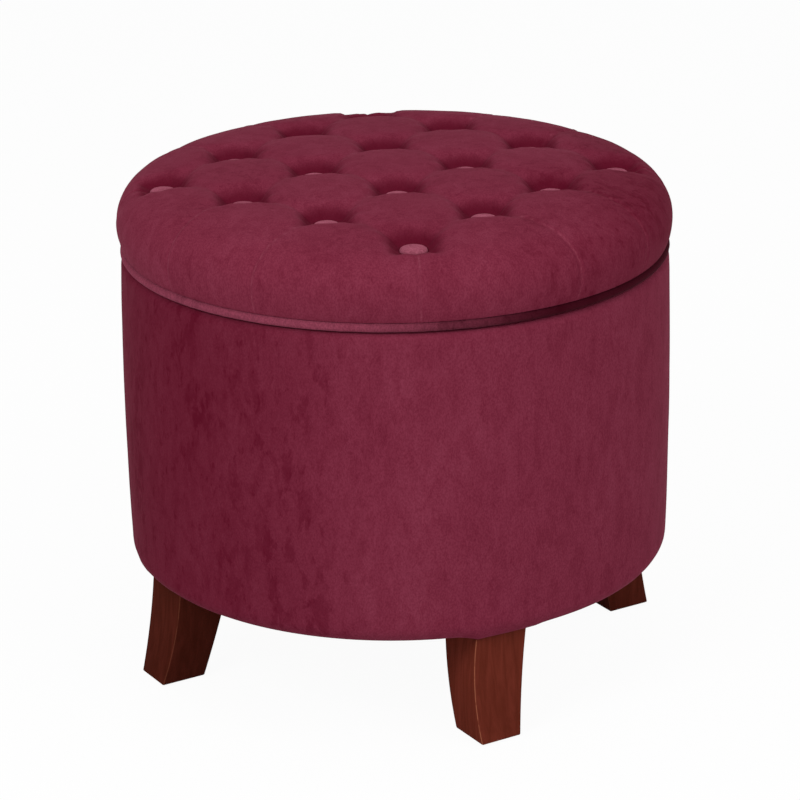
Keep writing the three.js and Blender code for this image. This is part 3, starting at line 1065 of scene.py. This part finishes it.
@dataclass
class Legs:
    """Four sabre legs that kick out at the foot."""

    bolt_radius: float = 202.0 * MM
    twist: float = 9.6
    foot: float = 1.9 * MM
    top: float = 97.6 * MM
    top_size: float = 51.9 * MM
    foot_depth: float = 43.1 * MM
    foot_width: float = 40.1 * MM
    kick: float = 17.9 * MM
    splay: float = 9.0 * MM
    kick_bow: float = 1.9 * MM
    splay_bow: float = 0.9 * MM
    waist: float = 2.9 * MM
    swell: float = 3.6 * MM
    arris: float = 1.5 * MM
    steps: int = 22

    def bolts(self) -> list[tuple[float, float, float]]:
        """Where each leg's bolt stands: its angle round the drum, in radians, its X and its Y."""
        angles = [math.radians(-45 + 90 * i) for i in range(4)]
        return [(angle, self.bolt_radius * math.cos(angle), self.bolt_radius * math.sin(angle))
                for angle in angles]

    def section(self, height: float) -> tuple[float, float, float, float]:
        """The leg's cut at a height.

        Args:
            height: above the floor, in metres.

        Returns:
            Its middle along X and along Y, its depth and its width.
        """
        share = (height - self.foot) / (self.top - self.foot)
        bow = 4 * share * (1 - share)
        return (self.kick * (1 - share) - self.kick_bow * bow,
                -self.splay * (1 - share) - self.splay_bow * bow,
                self.foot_depth + (self.top_size - self.foot_depth) * share - self.waist * bow,
                self.foot_width + (self.top_size - self.foot_width) * share + self.swell * bow)

    def model(self) -> bpy.types.Object:
        """One leg on the axis of its bolt, kicking out to +X, with its holes."""
        heights = [self.foot + (self.top - self.foot) * i / self.steps for i in range(self.steps + 1)]
        middle, aside, depth, width = self.section(heights[0])
        nothing_selected()
        bpy.ops.mesh.primitive_plane_add(size=1, location=(middle, aside, heights[0]))
        leg = named("leg_model")
        leg.scale = (depth, width, 1)
        settle(leg)
        with editing(leg, "FACE"):
            for height, above in zip(heights, heights[1:]):
                now, after = self.section(height), self.section(above)
                bpy.ops.mesh.extrude_region_move(TRANSFORM_OT_translate={
                    "value": (after[0] - now[0], after[1] - now[1], above - height)})
                bpy.ops.transform.resize(value=(after[2] / now[2], after[3] / now[3], 1),
                                         center_override=(after[0], after[1], above))
            bpy.ops.mesh.select_all(action="SELECT")
            bpy.ops.mesh.normals_make_consistent(inside=False)
        apply(leg, "BEVEL", width=self.arris, segments=4, limit_method="ANGLE", angle_limit=math.radians(40))
        self.mark_arrises(leg)
        self.drill(leg, 4.3 * MM, self.top - 38.6 * MM, self.top + 5 * MM, 0.0, 0.0)
        self.drill(leg, 1.7 * MM, -5 * MM, self.foot + 12.5 * MM, self.kick, -self.splay)
        smooth(leg, 35)
        return leg

    def mark_arrises(self, leg: bpy.types.Object) -> None:
        """Marks the rounded edges in the attribute "arris", for the finish's wear and painted highlight."""
        rubbed_and_highlight = leg.data.attributes.new("arris", "FLOAT", "POINT")
        values = []
        for vertex in leg.data.vertices:
            height = min(max(vertex.co.z, self.foot), self.top)
            middle, aside, depth, width = self.section(height)
            gaps = sorted((depth / 2 - abs(vertex.co.x - middle), width / 2 - abs(vertex.co.y - aside),
                           vertex.co.z - self.foot))
            far = math.hypot(max(gaps[0], 0), max(gaps[1], 0)) / self.arris
            rounded = gaps[0] < self.arris * 0.8 and gaps[1] < self.arris * 0.95
            # The outer, forward arris takes the full painted highlight, the others a quarter.
            outer = 1.0 if vertex.co.x > middle and vertex.co.y < aside else 0.25
            values.append(outer * min(1.0, max(0.0, (0.62 - far) / 0.3)) if rounded else 0.0)
        rubbed_and_highlight.data.foreach_set("value", values)

    def drill(self, leg: bpy.types.Object, radius: float, low: float, high: float,
              out: float, aside: float) -> None:
        """Cuts an upright hole.

        Args:
            leg: the leg.
            radius: the hole's radius.
            low: its lower end.
            high: its upper end.
            out: how far its axis is from the bolt's along X.
            aside: and along Y.
        """
        nothing_selected()
        bpy.ops.mesh.primitive_cylinder_add(
            vertices=24, radius=radius, depth=high - low, location=(out, aside, (low + high) / 2))
        cutter = named("cutter")
        apply(leg, "BOOLEAN", object=cutter, operation="DIFFERENCE", solver="EXACT")
        bpy.data.objects.remove(cutter)

    def build(self, finishes: Sequence[bpy.types.Material]) -> None:
        """Makes the four legs from one model.

        Args:
            finishes: the wood of each leg in turn.
        """
        model = self.model()
        for number, (finish, (angle, x, y)) in enumerate(zip(finishes, self.bolts()), 1):
            leg = copy_of(model, f"sabre_leg_{number}")
            leg.rotation_euler = (0, 0, angle + math.radians(self.twist))
            leg.location = (x, y, 0)
            settle(leg)
            dressed(leg, "base", finish, "stained_wood", f"leg_{number}")
        bpy.data.objects.remove(model)


# ---- The lid -----------------------------------------------------------------------------------


@dataclass(frozen=True)
class Button:
    """Where one covered button stands: its middle and its top."""

    x: float
    y: float
    top: float


@dataclass
class Tufting:
    """How the covered buttons pull the lid's top down, and the folds that run between them."""

    buttons: list[Button]
    pitch: float
    button: float = 12.0 * MM
    seat: float = 4.6 * MM
    puff: float = 4.4 * MM
    reach: float = 9.5 * MM
    star: float = 0.9
    valley: float = 2.6 * MM
    valley_width: float = 15.0 * MM
    fold: float = 1.1 * MM
    fold_width: float = 2.4 * MM
    pleat: float = 0.85 * MM

    def neighbours(self) -> list[tuple[Button, Button]]:
        """Pairs of buttons one pitch apart."""
        return [(a, b) for i, a in enumerate(self.buttons) for b in self.buttons[i + 1:]
                if math.hypot(a.x - b.x, a.y - b.y) < self.pitch * 1.1]

    def outward(self) -> list[tuple[Button, float, float]]:
        """The pleats: each outer button, and the unit direction in which its pleat runs to the rim.

        Returns:
            Button, direction along X and direction along Y.
        """
        count = {button: 0 for button in self.buttons}
        pulls = {button: Vector((0, 0)) for button in self.buttons}
        for a, b in self.neighbours():
            step = Vector((b.x - a.x, b.y - a.y)).normalized()
            pulls[a] -= step
            pulls[b] += step
            count[a] += 1
            count[b] += 1
        return [(button, *pulls[button].normalized()) for button in self.buttons if count[button] < 4]

    def pleat_angles(self, rim: float) -> list[float]:
        """The angle at which each pleat crosses the lid's side."""
        angles = []
        for button, dx, dy in self.outward():
            along = button.x * dx + button.y * dy
            far = -along + math.sqrt(along ** 2 - button.x ** 2 - button.y ** 2 + rim ** 2)
            angles.append(math.atan2(button.y + far * dy, button.x + far * dx))
        return angles

    def lattice(self) -> float:
        """The angle at which a row of buttons runs."""
        a, b = self.neighbours()[0]
        return math.atan2(b.y - a.y, b.x - a.x)

    def arms(self, turn: np.ndarray) -> np.ndarray:
        """1 along the rows of buttons, where a dimple runs out into a fold, and 0 between them."""
        return np.maximum(0, np.cos(4 * (turn - self.lattice()))) ** 1.5

    def near(self, apart: np.ndarray, turn: np.ndarray) -> np.ndarray:
        """How far the cloth is pulled down towards a button: 1 under it, 0 well away.

        Args:
            apart: the distances from the button's middle.
            turn: the directions from it, in radians.

        Returns:
            The share at each point.
        """
        reach = self.reach * (1 + self.star * self.arms(turn))
        return np.exp(-(np.maximum(0, apart - self.button) / reach) ** 2.1)

    def hollow_shade_mask(self, points: np.ndarray) -> np.ndarray:
        """Where painted shade darkens the dimples: 1 on their walls, 0 on the pillows between them."""
        hollow_shade = np.zeros(len(points))
        for button in self.buttons:
            x, y = points[:, 0] - button.x, points[:, 1] - button.y
            edge = (28 + 5 * self.arms(np.arctan2(y, x))) * MM
            share = np.clip((edge - np.hypot(x, y)) / (11 * MM), 0, 1)
            hollow_shade = np.maximum(hollow_shade, share * share * (3 - 2 * share))
        return hollow_shade

    def creases(self, points: np.ndarray) -> np.ndarray:
        """1 along the pleats that run out to the lid's side."""
        crease = np.zeros(len(points))
        for button, dx, dy in self.outward():
            along = (points[:, 0] - button.x) * dx + (points[:, 1] - button.y) * dy
            off = (points[:, 0] - button.x) * -dy + (points[:, 1] - button.y) * dx
            line = np.exp(-((off - 1.2 * MM) / (0.6 * MM)) ** 2) * (along > 14 * MM)
            crease = np.maximum(crease, line)
        return crease

    def depth(self, points: np.ndarray, crown: np.ndarray, rim: float) -> np.ndarray:
        """How far the cloth stands above its plain shape.

        Args:
            points: rows of x, y, z on the plain shape.
            crown: 1 on the lid's top, falling to 0 down its side.
            rim: the lid's radius.

        Returns:
            The rise along the normal at each point, in metres.
        """
        x, y = points[:, 0], points[:, 1]
        inner = np.clip((rim - 14 * MM - np.hypot(x, y)) / (55 * MM), 0, 1)
        lift = self.puff * crown * inner * inner * (3 - 2 * inner)
        lift = lift - 1.5 * MM * crown * np.exp(-((rim - 22 * MM - np.hypot(x, y)) / (24 * MM)) ** 2)
        for a, b in self.neighbours():
            length = math.hypot(b.x - a.x, b.y - a.y)
            ux, uy = (b.x - a.x) / length, (b.y - a.y) / length
            along = (x - a.x) * ux + (y - a.y) * uy
            off = (x - a.x) * -uy + (y - a.y) * ux
            ends = np.maximum(0, np.maximum(-along, along - length))
            near = np.exp(-(ends / self.valley_width) ** 2)
            lift = lift - self.valley * near * np.exp(-(np.abs(off) / self.valley_width) ** 1.5)
            close = np.exp(-np.minimum(np.abs(along), np.abs(length - along)) / (17 * MM))
            lift = lift - self.fold * near * (0.25 + close) * np.exp(-(off / self.fold_width) ** 2)
        for button, dx, dy in self.outward():
            along = (x - button.x) * dx + (y - button.y) * dy
            off = (x - button.x) * -dy + (y - button.y) * dx
            ahead = 1 / (1 + np.exp(-np.clip(along / (3 * MM), -30, 30)))
            trough = np.exp(-(np.abs(off) / self.valley_width) ** 1.5)
            lift = lift - crown * self.valley * 0.4 * ahead * trough
            wide = self.fold_width * 0.75
            crease = np.exp(-(off / wide) ** 2) - 0.55 * np.exp(-((off - 2.2 * wide) / (1.4 * wide)) ** 2)
            lift = lift - self.pleat * ahead * crease
        for button in self.buttons:
            apart = np.hypot(x - button.x, y - button.y)
            turn = np.arctan2(y - button.y, x - button.x)
            close = self.near(apart, turn)
            level = button.top - self.seat
            pucker = np.sin(turn * 9 + button.x * 400) + 0.6 * np.sin(turn * 14 + button.y * 300)
            lift = lift + 0.35 * MM * pucker * np.exp(-((apart - 19 * MM) / (8 * MM)) ** 2)
            seated = np.clip((level - points[:, 2]), -30 * MM, 0)
            lift = np.where(apart < 60 * MM, lift * (1 - close) + seated * close, lift)
        return lift


@dataclass
class Settling:
    """A short cloth simulation: the stuffed cover swells and settles between its stitches."""

    voxel: float = 6 * MM
    pressure: float = 4.0
    frames: int = 20
    most: float = 4.5 * MM
    start: np.ndarray = field(default_factory=lambda: np.zeros((0, 3)))
    shift: np.ndarray = field(default_factory=lambda: np.zeros((0, 3)))

    def run(self, piece: bpy.types.Object, held: Callable[[np.ndarray], np.ndarray]) -> None:
        """Simulates a copy of a closed piece and keeps how far each of its points moved.

        Args:
            piece: the piece the cover is drawn over. It isn't changed.
            held: takes rows of x, y, z and gives True for those the stitches and the board hold.
        """
        cloth_copy = copy_of(piece, "settling_copy")
        apply(cloth_copy, "REMESH", mode="VOXEL", voxel_size=self.voxel)
        self.start = points_of(cloth_copy)
        pins = cloth_copy.vertex_groups.new(name="held")
        pins.add([int(index) for index in np.flatnonzero(held(self.start))], 1.0, "REPLACE")
        only(cloth_copy)
        bpy.ops.object.modifier_add(type="CLOTH")
        cloth = cloth_copy.modifiers[-1]
        cloth.settings.vertex_group_mass = pins.name
        cloth.settings.use_pressure = True
        cloth.settings.uniform_pressure_force = self.pressure
        cloth.settings.effector_weights.gravity = 0
        cloth.collision_settings.use_collision = False
        cloth.point_cache.frame_end = self.frames
        for step in range(1, self.frames + 1):
            bpy.context.scene.frame_set(step)
        bpy.ops.object.modifier_apply(modifier=cloth.name)
        self.shift = points_of(cloth_copy) - self.start
        bpy.data.objects.remove(cloth_copy)
        bpy.context.scene.frame_set(1)
        length = np.maximum(np.linalg.norm(self.shift, axis=1), 1e-9)
        LOG.info("settling: %d points, moved %.1f mm on average, %.1f mm at most", len(self.start),
                 length.mean() / MM, length.max() / MM)
        self.shift *= (self.most * np.tanh(length / self.most) / length)[:, None]

    def at(self, points: np.ndarray) -> np.ndarray:
        """How far the cover moved near some points.

        Args:
            points: rows of x, y, z.

        Returns:
            The shift at each, from the six nearest simulated points.
        """
        if not len(self.start):
            return np.zeros_like(points)
        tree = KDTree(len(self.start))
        for i, place in enumerate(self.start):
            tree.insert(place, i)
        tree.balance()
        shifts = np.zeros_like(points)
        for i, point in enumerate(points):
            found = tree.find_n(point, 6)
            weights = np.array([1 / (far + 3 * MM) ** 2 for _, _, far in found])
            shifts[i] = weights @ self.shift[[index for _, index, _ in found]] / weights.sum()
        return shifts


@dataclass
class Lid:
    """The loose lid: tufted velvet over foam, piped round its foot, black cloth underneath."""

    bottom: float = 384.2 * MM
    top: float = 459.4 * MM
    radius: float = 247.6 * MM
    waist: float = 414.2 * MM
    edge_in: float = 32.5 * MM
    crown: float = 8.6 * MM
    foot: float = 392.7 * MM
    tuck: float = 4.4 * MM
    wrap: float = 206.9 * MM
    seam: float = 236.9 * MM
    cloth: float = 1.2 * MM
    board: float = 235.4 * MM
    board_top: float = 397.7 * MM
    cord: float = 4.05 * MM
    cord_at: tuple[float, float] = (241.3 * MM, 388.3 * MM)
    sides: int = 360
    tufting: Tufting = field(init=False)
    settling: Settling = field(default_factory=Settling)

    def __post_init__(self) -> None:
        """Finds the buttons from their CAD pieces."""
        buttons = []
        for i in range(16):
            low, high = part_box(f"lid_button_{i + 1:02d}")
            buttons.append(Button((low[0] + high[0]) / 2, (low[1] + high[1]) / 2, high[2]))
        pitch = math.hypot(buttons[0].x - buttons[1].x, buttons[0].y - buttons[1].y)
        self.tufting = Tufting(buttons, pitch)

    def upper(self, inset: float, step: float) -> Outline:
        """The side, the rim and the crown, set in by an amount.

        Args:
            inset: how far inside the velvet's face the line runs.
            step: the longest stretch between points.

        Returns:
            Radius and height of its points, from the foot to the middle of the top.
        """
        rise = self.waist - self.foot
        side = [(self.radius - inset - self.tuck * (1 - i / 8) ** 2, self.foot + rise * i / 8)
                for i in range(8)]
        centre = self.radius - self.edge_in
        height = self.top - self.crown - self.waist
        rim = arc((centre, self.waist), (self.edge_in - inset, height - inset), 0, 90, 22)
        flat = [(centre * (1 - i / 70), self.top - inset - self.crown * (1 - i / 70) ** 2)
                for i in range(1, 71)]
        return finer(side + rim + flat, step)

    def share_up(self, points: np.ndarray) -> np.ndarray:
        """0 up to the lid's waist, rising evenly to 1 where its crown starts."""
        return np.clip((points[:, 2] - self.waist) / (self.top - self.crown - self.waist), 0, 1)

    def tufted(self, piece: bpy.types.Object, fade_low: float) -> None:
        """Pulls the buttons' dimples, the valleys and the pleats into a piece.

        Args:
            piece: the turned piece.
            fade_low: the height under which nothing moves.
        """
        points = points_of(piece)
        normals = normals_of(piece)
        crown = self.share_up(points)
        crown = crown * crown * (3 - 2 * crown)
        rise = self.tufting.depth(points, crown, self.radius)
        soft = 0.5 * MM * ripple(points, 60 * MM, 1.3) + 0.25 * MM * ripple(points, 19 * MM, 6.1)
        rise = rise + soft
        rise *= np.clip((points[:, 2] - fade_low) / (6 * MM), 0, 1)
        up = normals.copy()
        up[:, 2] = np.abs(up[:, 2])
        lean = crown[:, None]
        way = up * (1 - lean) + np.array((0, 0, 1.0)) * lean
        way /= np.linalg.norm(way, axis=1)[:, None]
        set_points(piece, points + way * rise[:, None])

    def held(self, points: np.ndarray) -> np.ndarray:
        """True where a button or the board keeps the cover still."""
        still = points[:, 2] < self.foot + 5 * MM
        for button in self.tufting.buttons:
            still |= np.hypot(points[:, 0] - button.x, points[:, 1] - button.y) < 15 * MM
        return still

    def settle_down(self, piece: bpy.types.Object) -> None:
        """Moves a piece of the lid as the simulated cover moved, less so down its side."""
        points = points_of(piece)
        side = np.clip((points[:, 2] - self.foot) / (6 * MM), 0, 1)
        crown = self.share_up(points)
        set_points(piece, points + self.settling.at(points) * (side * (0.2 + 0.8 * crown))[:, None])

    def velvet(self, finish: bpy.types.Material) -> bpy.types.Object:
        """The lid's cover, from its wrap under the board to the middle of the top."""
        bend = 1.5 * MM
        under = [(self.wrap, self.bottom), (self.seam - bend, self.bottom)]
        turn_up = arc((self.seam - bend, self.bottom + bend), (bend, bend), -60, 0, 2)
        over_cord = [(self.seam, self.foot - 1.2 * MM), (self.seam + 0.8 * MM, self.foot - 0.2 * MM),
                     (self.radius - self.tuck - 1.6 * MM, self.foot - 0.1 * MM)]
        upper = self.upper(0, 3 * MM)
        upper[0] = (upper[0][0] - 0.2 * MM, upper[0][1] - 0.1 * MM)
        outline = finer(under + turn_up + over_cord, 5 * MM) + upper
        cover = turned("lid_velvet", outline, self.sides)
        crowded(cover, self.tufting.pleat_angles(self.radius), self.sides)
        self.tufted(cover, self.foot)
        self.settle_down(cover)
        # Painted shade for the dimples' hollows, kept as an attribute that the velvet reads.
        hollow_shade = cover.data.attributes.new("hollow_shade", "FLOAT", "POINT")
        points = points_of(cover)
        hollow_shade.data.foreach_set("value", self.tufting.hollow_shade_mask(points) * (points[:, 2] > self.waist + 10 * MM))
        crease = cover.data.attributes.new("crease", "FLOAT", "POINT")
        crease.data.foreach_set("value", self.tufting.creases(points) * (points[:, 2] > self.foot))
        apply(cover, "SOLIDIFY", thickness=self.cloth, offset=-1)
        smooth(cover, 50)
        dressed(cover, "lid", finish, "velvet", "lid_cover")
        return cover

    def pad(self, finish: bpy.types.Material) -> bpy.types.Object:
        """The foam, crowned and dimpled like the velvet over it."""
        inset = self.cloth + 0.9 * MM
        low = self.foot + inset
        inner = self.board + 0.4 * MM
        base = self.board_top + 0.3 * MM
        upper = [point for point in self.upper(inset, 6 * MM) if point[1] > low]
        outline = [(0, base), (inner, base), (inner, low)] + [(upper[0][0], low)] + upper
        foam = turned("lid_pad", finer(outline, 7 * MM), 128)
        self.tufted(foam, base + 4 * MM)
        points = points_of(foam)
        for button in self.tufting.buttons:
            apart = np.hypot(points[:, 0] - button.x, points[:, 1] - button.y)
            sink = 4.5 * MM * np.exp(-(apart / (30 * MM)) ** 4)
            points[:, 2] -= np.where(points[:, 2] > base + 20 * MM, sink, 0)
        set_points(foam, points)
        self.settling.run(foam, self.held)
        self.settle_down(foam)
        smooth(foam, 50)
        dressed(foam, "lid", finish, "foam", "lid_foam")
        return foam

    def piping(self, finish: bpy.types.Material) -> bpy.types.Object:
        """The velvet-covered cord round the lid's foot, with the joint where its ends meet."""
        ring = arc(self.cord_at, (self.cord, self.cord), 0, 360, 14)
        ring[-1] = ring[0]
        cord = turned("lid_cord", ring, self.sides)
        points = points_of(cord)
        angle = angle_of(points)
        pucker = 0.16 * MM * ripple(points, 9 * MM, 4.4) + 0.12 * MM * ripple(points, 4 * MM, 2.2)
        joint = (angle - math.radians(108) + math.pi) % math.tau - math.pi
        pucker -= 0.45 * MM * np.exp(-(joint * self.radius / (1.5 * MM)) ** 2)
        set_points(cord, points + normals_of(cord) * pucker[:, None])
        smooth(cord, 60)
        return dressed(cord, "lid", finish, "velvet", "lid_piping")

    def lining(self, finish: bpy.types.Material) -> bpy.types.Object:
        """The black cloth under the board, inside the locating ring."""
        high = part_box("lid_lining")[1]
        radius = high[0] - 0.1 * MM
        cloth = turned("lid_lining_cloth", finer([(radius, high[2]), (0, high[2])], 9 * MM), 96)
        points = points_of(cloth)
        inward = np.clip((radius - radius_of(points)) / (15 * MM), 0, 1)
        points[:, 2] -= inward * 0.3 * MM * (1 + ripple(points, 45 * MM, 9.3))
        set_points(cloth, points)
        apply(cloth, "SOLIDIFY", thickness=0.7 * MM, offset=1 if cloth.data.polygons[0].normal.z < 0 else -1)
        smooth(cloth)
        dressed(cloth, "lid", finish, "black_cloth", "lid_lining")
        return cloth

    def covered_buttons(self, finish: bpy.types.Material, twine: bpy.types.Material) -> None:
        """Sixteen velvet buttons, each with its twine through the foam and its knot under the board."""
        head = self.button_head()
        for i, button in enumerate(self.tufting.buttons):
            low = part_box(f"lid_button_{i + 1:02d}")[0][2]
            dome = copy_of(head, f"button_{i + 1:02d}")
            dome.rotation_euler = (0, 0, i * 2.4)
            dome.location = (button.x, button.y, button.top)
            settle(dome)
            thread = self.thread(low - button.top)
            thread.location = (button.x, button.y, button.top)
            settle(thread)
            dome.data.materials.append(finish)
            thread.data.materials.append(twine)
            only(thread).select_set(True)
            dome.select_set(True)
            bpy.context.view_layer.objects.active = dome
            bpy.ops.object.join()
            smooth(dome, 50)
            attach(dome, "lid")
            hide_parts(f"lid_button_{i + 1:02d}")
            LOG.info("%s: %d faces", dome.name, len(dome.data.polygons))
        bpy.data.objects.remove(head)

    def button_head(self) -> bpy.types.Object:
        """One covered button, with its top at the origin."""
        radius = self.tufting.button
        outline = [(0, -6.4 * MM), (radius * 0.55, -6.4 * MM), (radius * 0.9, -6.0 * MM),
                   (radius, -4.6 * MM), (radius * 0.985, -3.4 * MM), (radius * 0.93, -2.3 * MM),
                   (radius * 0.82, -1.35 * MM), (radius * 0.64, -0.65 * MM),
                   (radius * 0.42, -0.22 * MM), (radius * 0.2, -0.03 * MM), (0, 0)]
        head = turned("button_head", outline, 36)
        points = points_of(head)
        angle = angle_of(points)
        skirt = np.exp(-((points[:, 2] + 5.0 * MM) / (1.6 * MM)) ** 2)
        gather = 0.28 * MM * np.sin(angle * 12) * skirt
        set_points(head, points + normals_of(head) * gather[:, None])
        return head

    def thread(self, low: float) -> bpy.types.Object:
        """Waxed twine from a button down to its knot.

        Args:
            low: how far below the button's top the knot ends.

        Returns:
            The twine, with the button's top at the origin.
        """
        thick = 1.35 * MM
        start = -6.0 * MM
        knot = [(0, low), (2.2 * MM, low + 0.1 * MM), (3.7 * MM, low + 0.9 * MM), (3.9 * MM, low + 1.6 * MM),
                (3.1 * MM, low + 2.4 * MM), (thick, low + 2.9 * MM)]
        rise = [(thick, low + 2.9 * MM + (start - low - 2.9 * MM) * i / 12) for i in range(1, 13)]
        thread = turned("thread", knot + rise + [(0, start)], 10)
        points = points_of(thread)
        angle = angle_of(points)
        radius = radius_of(points)
        wound = 0.35 * MM * np.sin(angle * 2 + points[:, 2] / MM * 1.5)
        strands = 0.12 * MM * np.sin(angle * 3 + points[:, 2] / MM * 1.1)
        lay = np.where(radius > thick * 1.2, wound, strands)
        out = np.stack([np.cos(angle), np.sin(angle), np.zeros(len(angle))], 1)
        set_points(thread, points + out * (lay * (radius > 0.1 * MM))[:, None])
        return thread


# ---- Putting it together -----------------------------------------------------------------------


def kept_pieces() -> None:
    """Finishes the boards, the posts and the metalwork that keep their CAD shape."""
    plywood = RawWood("birch_plywood", (0.58, 0.42, 0.25), (0.40, 0.26, 0.14), 90.0, Direction.LEVEL, 380.0)
    hardboard = RawWood("hardboard", (0.24, 0.145, 0.08), (0.15, 0.085, 0.045), 420.0)
    timber = RawWood("pine_post", (0.66, 0.48, 0.28), (0.47, 0.30, 0.15), 130.0, Direction.UPRIGHT)
    refinish(plywood.material(), "base_panel", "top_ring", "lid_board", "locating_ring")
    refinish(hardboard.material(), "drum_wall", "inner_wall")
    refinish(timber.material(), *(f"post_{i}" for i in range(1, 5)))
    refinish(Zinc("zinc_plate").material(), *(f"{kind}_{i}" for kind in ("leg_bolt", "t_nut", "ring_screw")
                                             for i in range(1, 5)))
    refinish(MouldedPlastic("glide_plastic").material(), *(f"glide_{i}" for i in range(1, 5)))


def main() -> None:
    """Builds the ottoman in order."""
    logging.basicConfig(level=logging.INFO, format="%(message)s")
    Studio().build()
    # Painted shade: the drum's velvet is coloured darker towards one side and the lid's towards the other.
    drum_velvet = Velvet("drum_velvet", (-0.918, -0.397, 0.05), 0.01, 0.21).material()
    lid_velvet = Velvet("lid_velvet", (0.918, 0.30, 0.0), 0.09, 0.26).material()
    # The cord's paler pile is a painted highlight on its lit side, and its near-black dark colour with
    # side_shade_depth 0.96 is the painted shadow under the lid on the other side.
    cord_velvet = Velvet("cord_velvet", (0.918, 0.30, 0.0), -0.04, 0.16, pile=(0.250, 0.0480, 0.0830),
                         dark_pile_and_shade=(0.030, 0.0010, 0.0045), side_shade_depth=0.96).material()
    # The buttons' paler pile is a painted highlight on their tops.
    button_velvet = Velvet("button_velvet", (0.0, 0.0, 1.0), 0.50, 0.60, pile=(0.335, 0.0850, 0.1300),
                           brushed=(0.39, 0.11, 0.16), sheen=0.12).material()
    foam = Foam("upholstery_foam").material()
    black = LiningCloth("black_lining").material()
    waxed = RawWood("waxed_twine", (0.50, 0.42, 0.30), (0.33, 0.26, 0.17), 900.0).material()
    drum = Drum()
    drum.padding(foam)
    drum.velvet(drum_velvet)
    drum.lining(black)
    drum.underside(black)
    Legs().build([StainedWood(f"stained_leg_{i + 1}", strength).material()
                  for i, strength in enumerate(LEG_PAINTED_LIGHT)])
    lid = Lid()
    lid.pad(foam)
    lid.velvet(lid_velvet)
    lid.piping(cord_velvet)
    lid.lining(black)
    lid.covered_buttons(button_velvet, waxed)
    kept_pieces()
    nothing_selected()


if __name__ == "__main__":
    main()
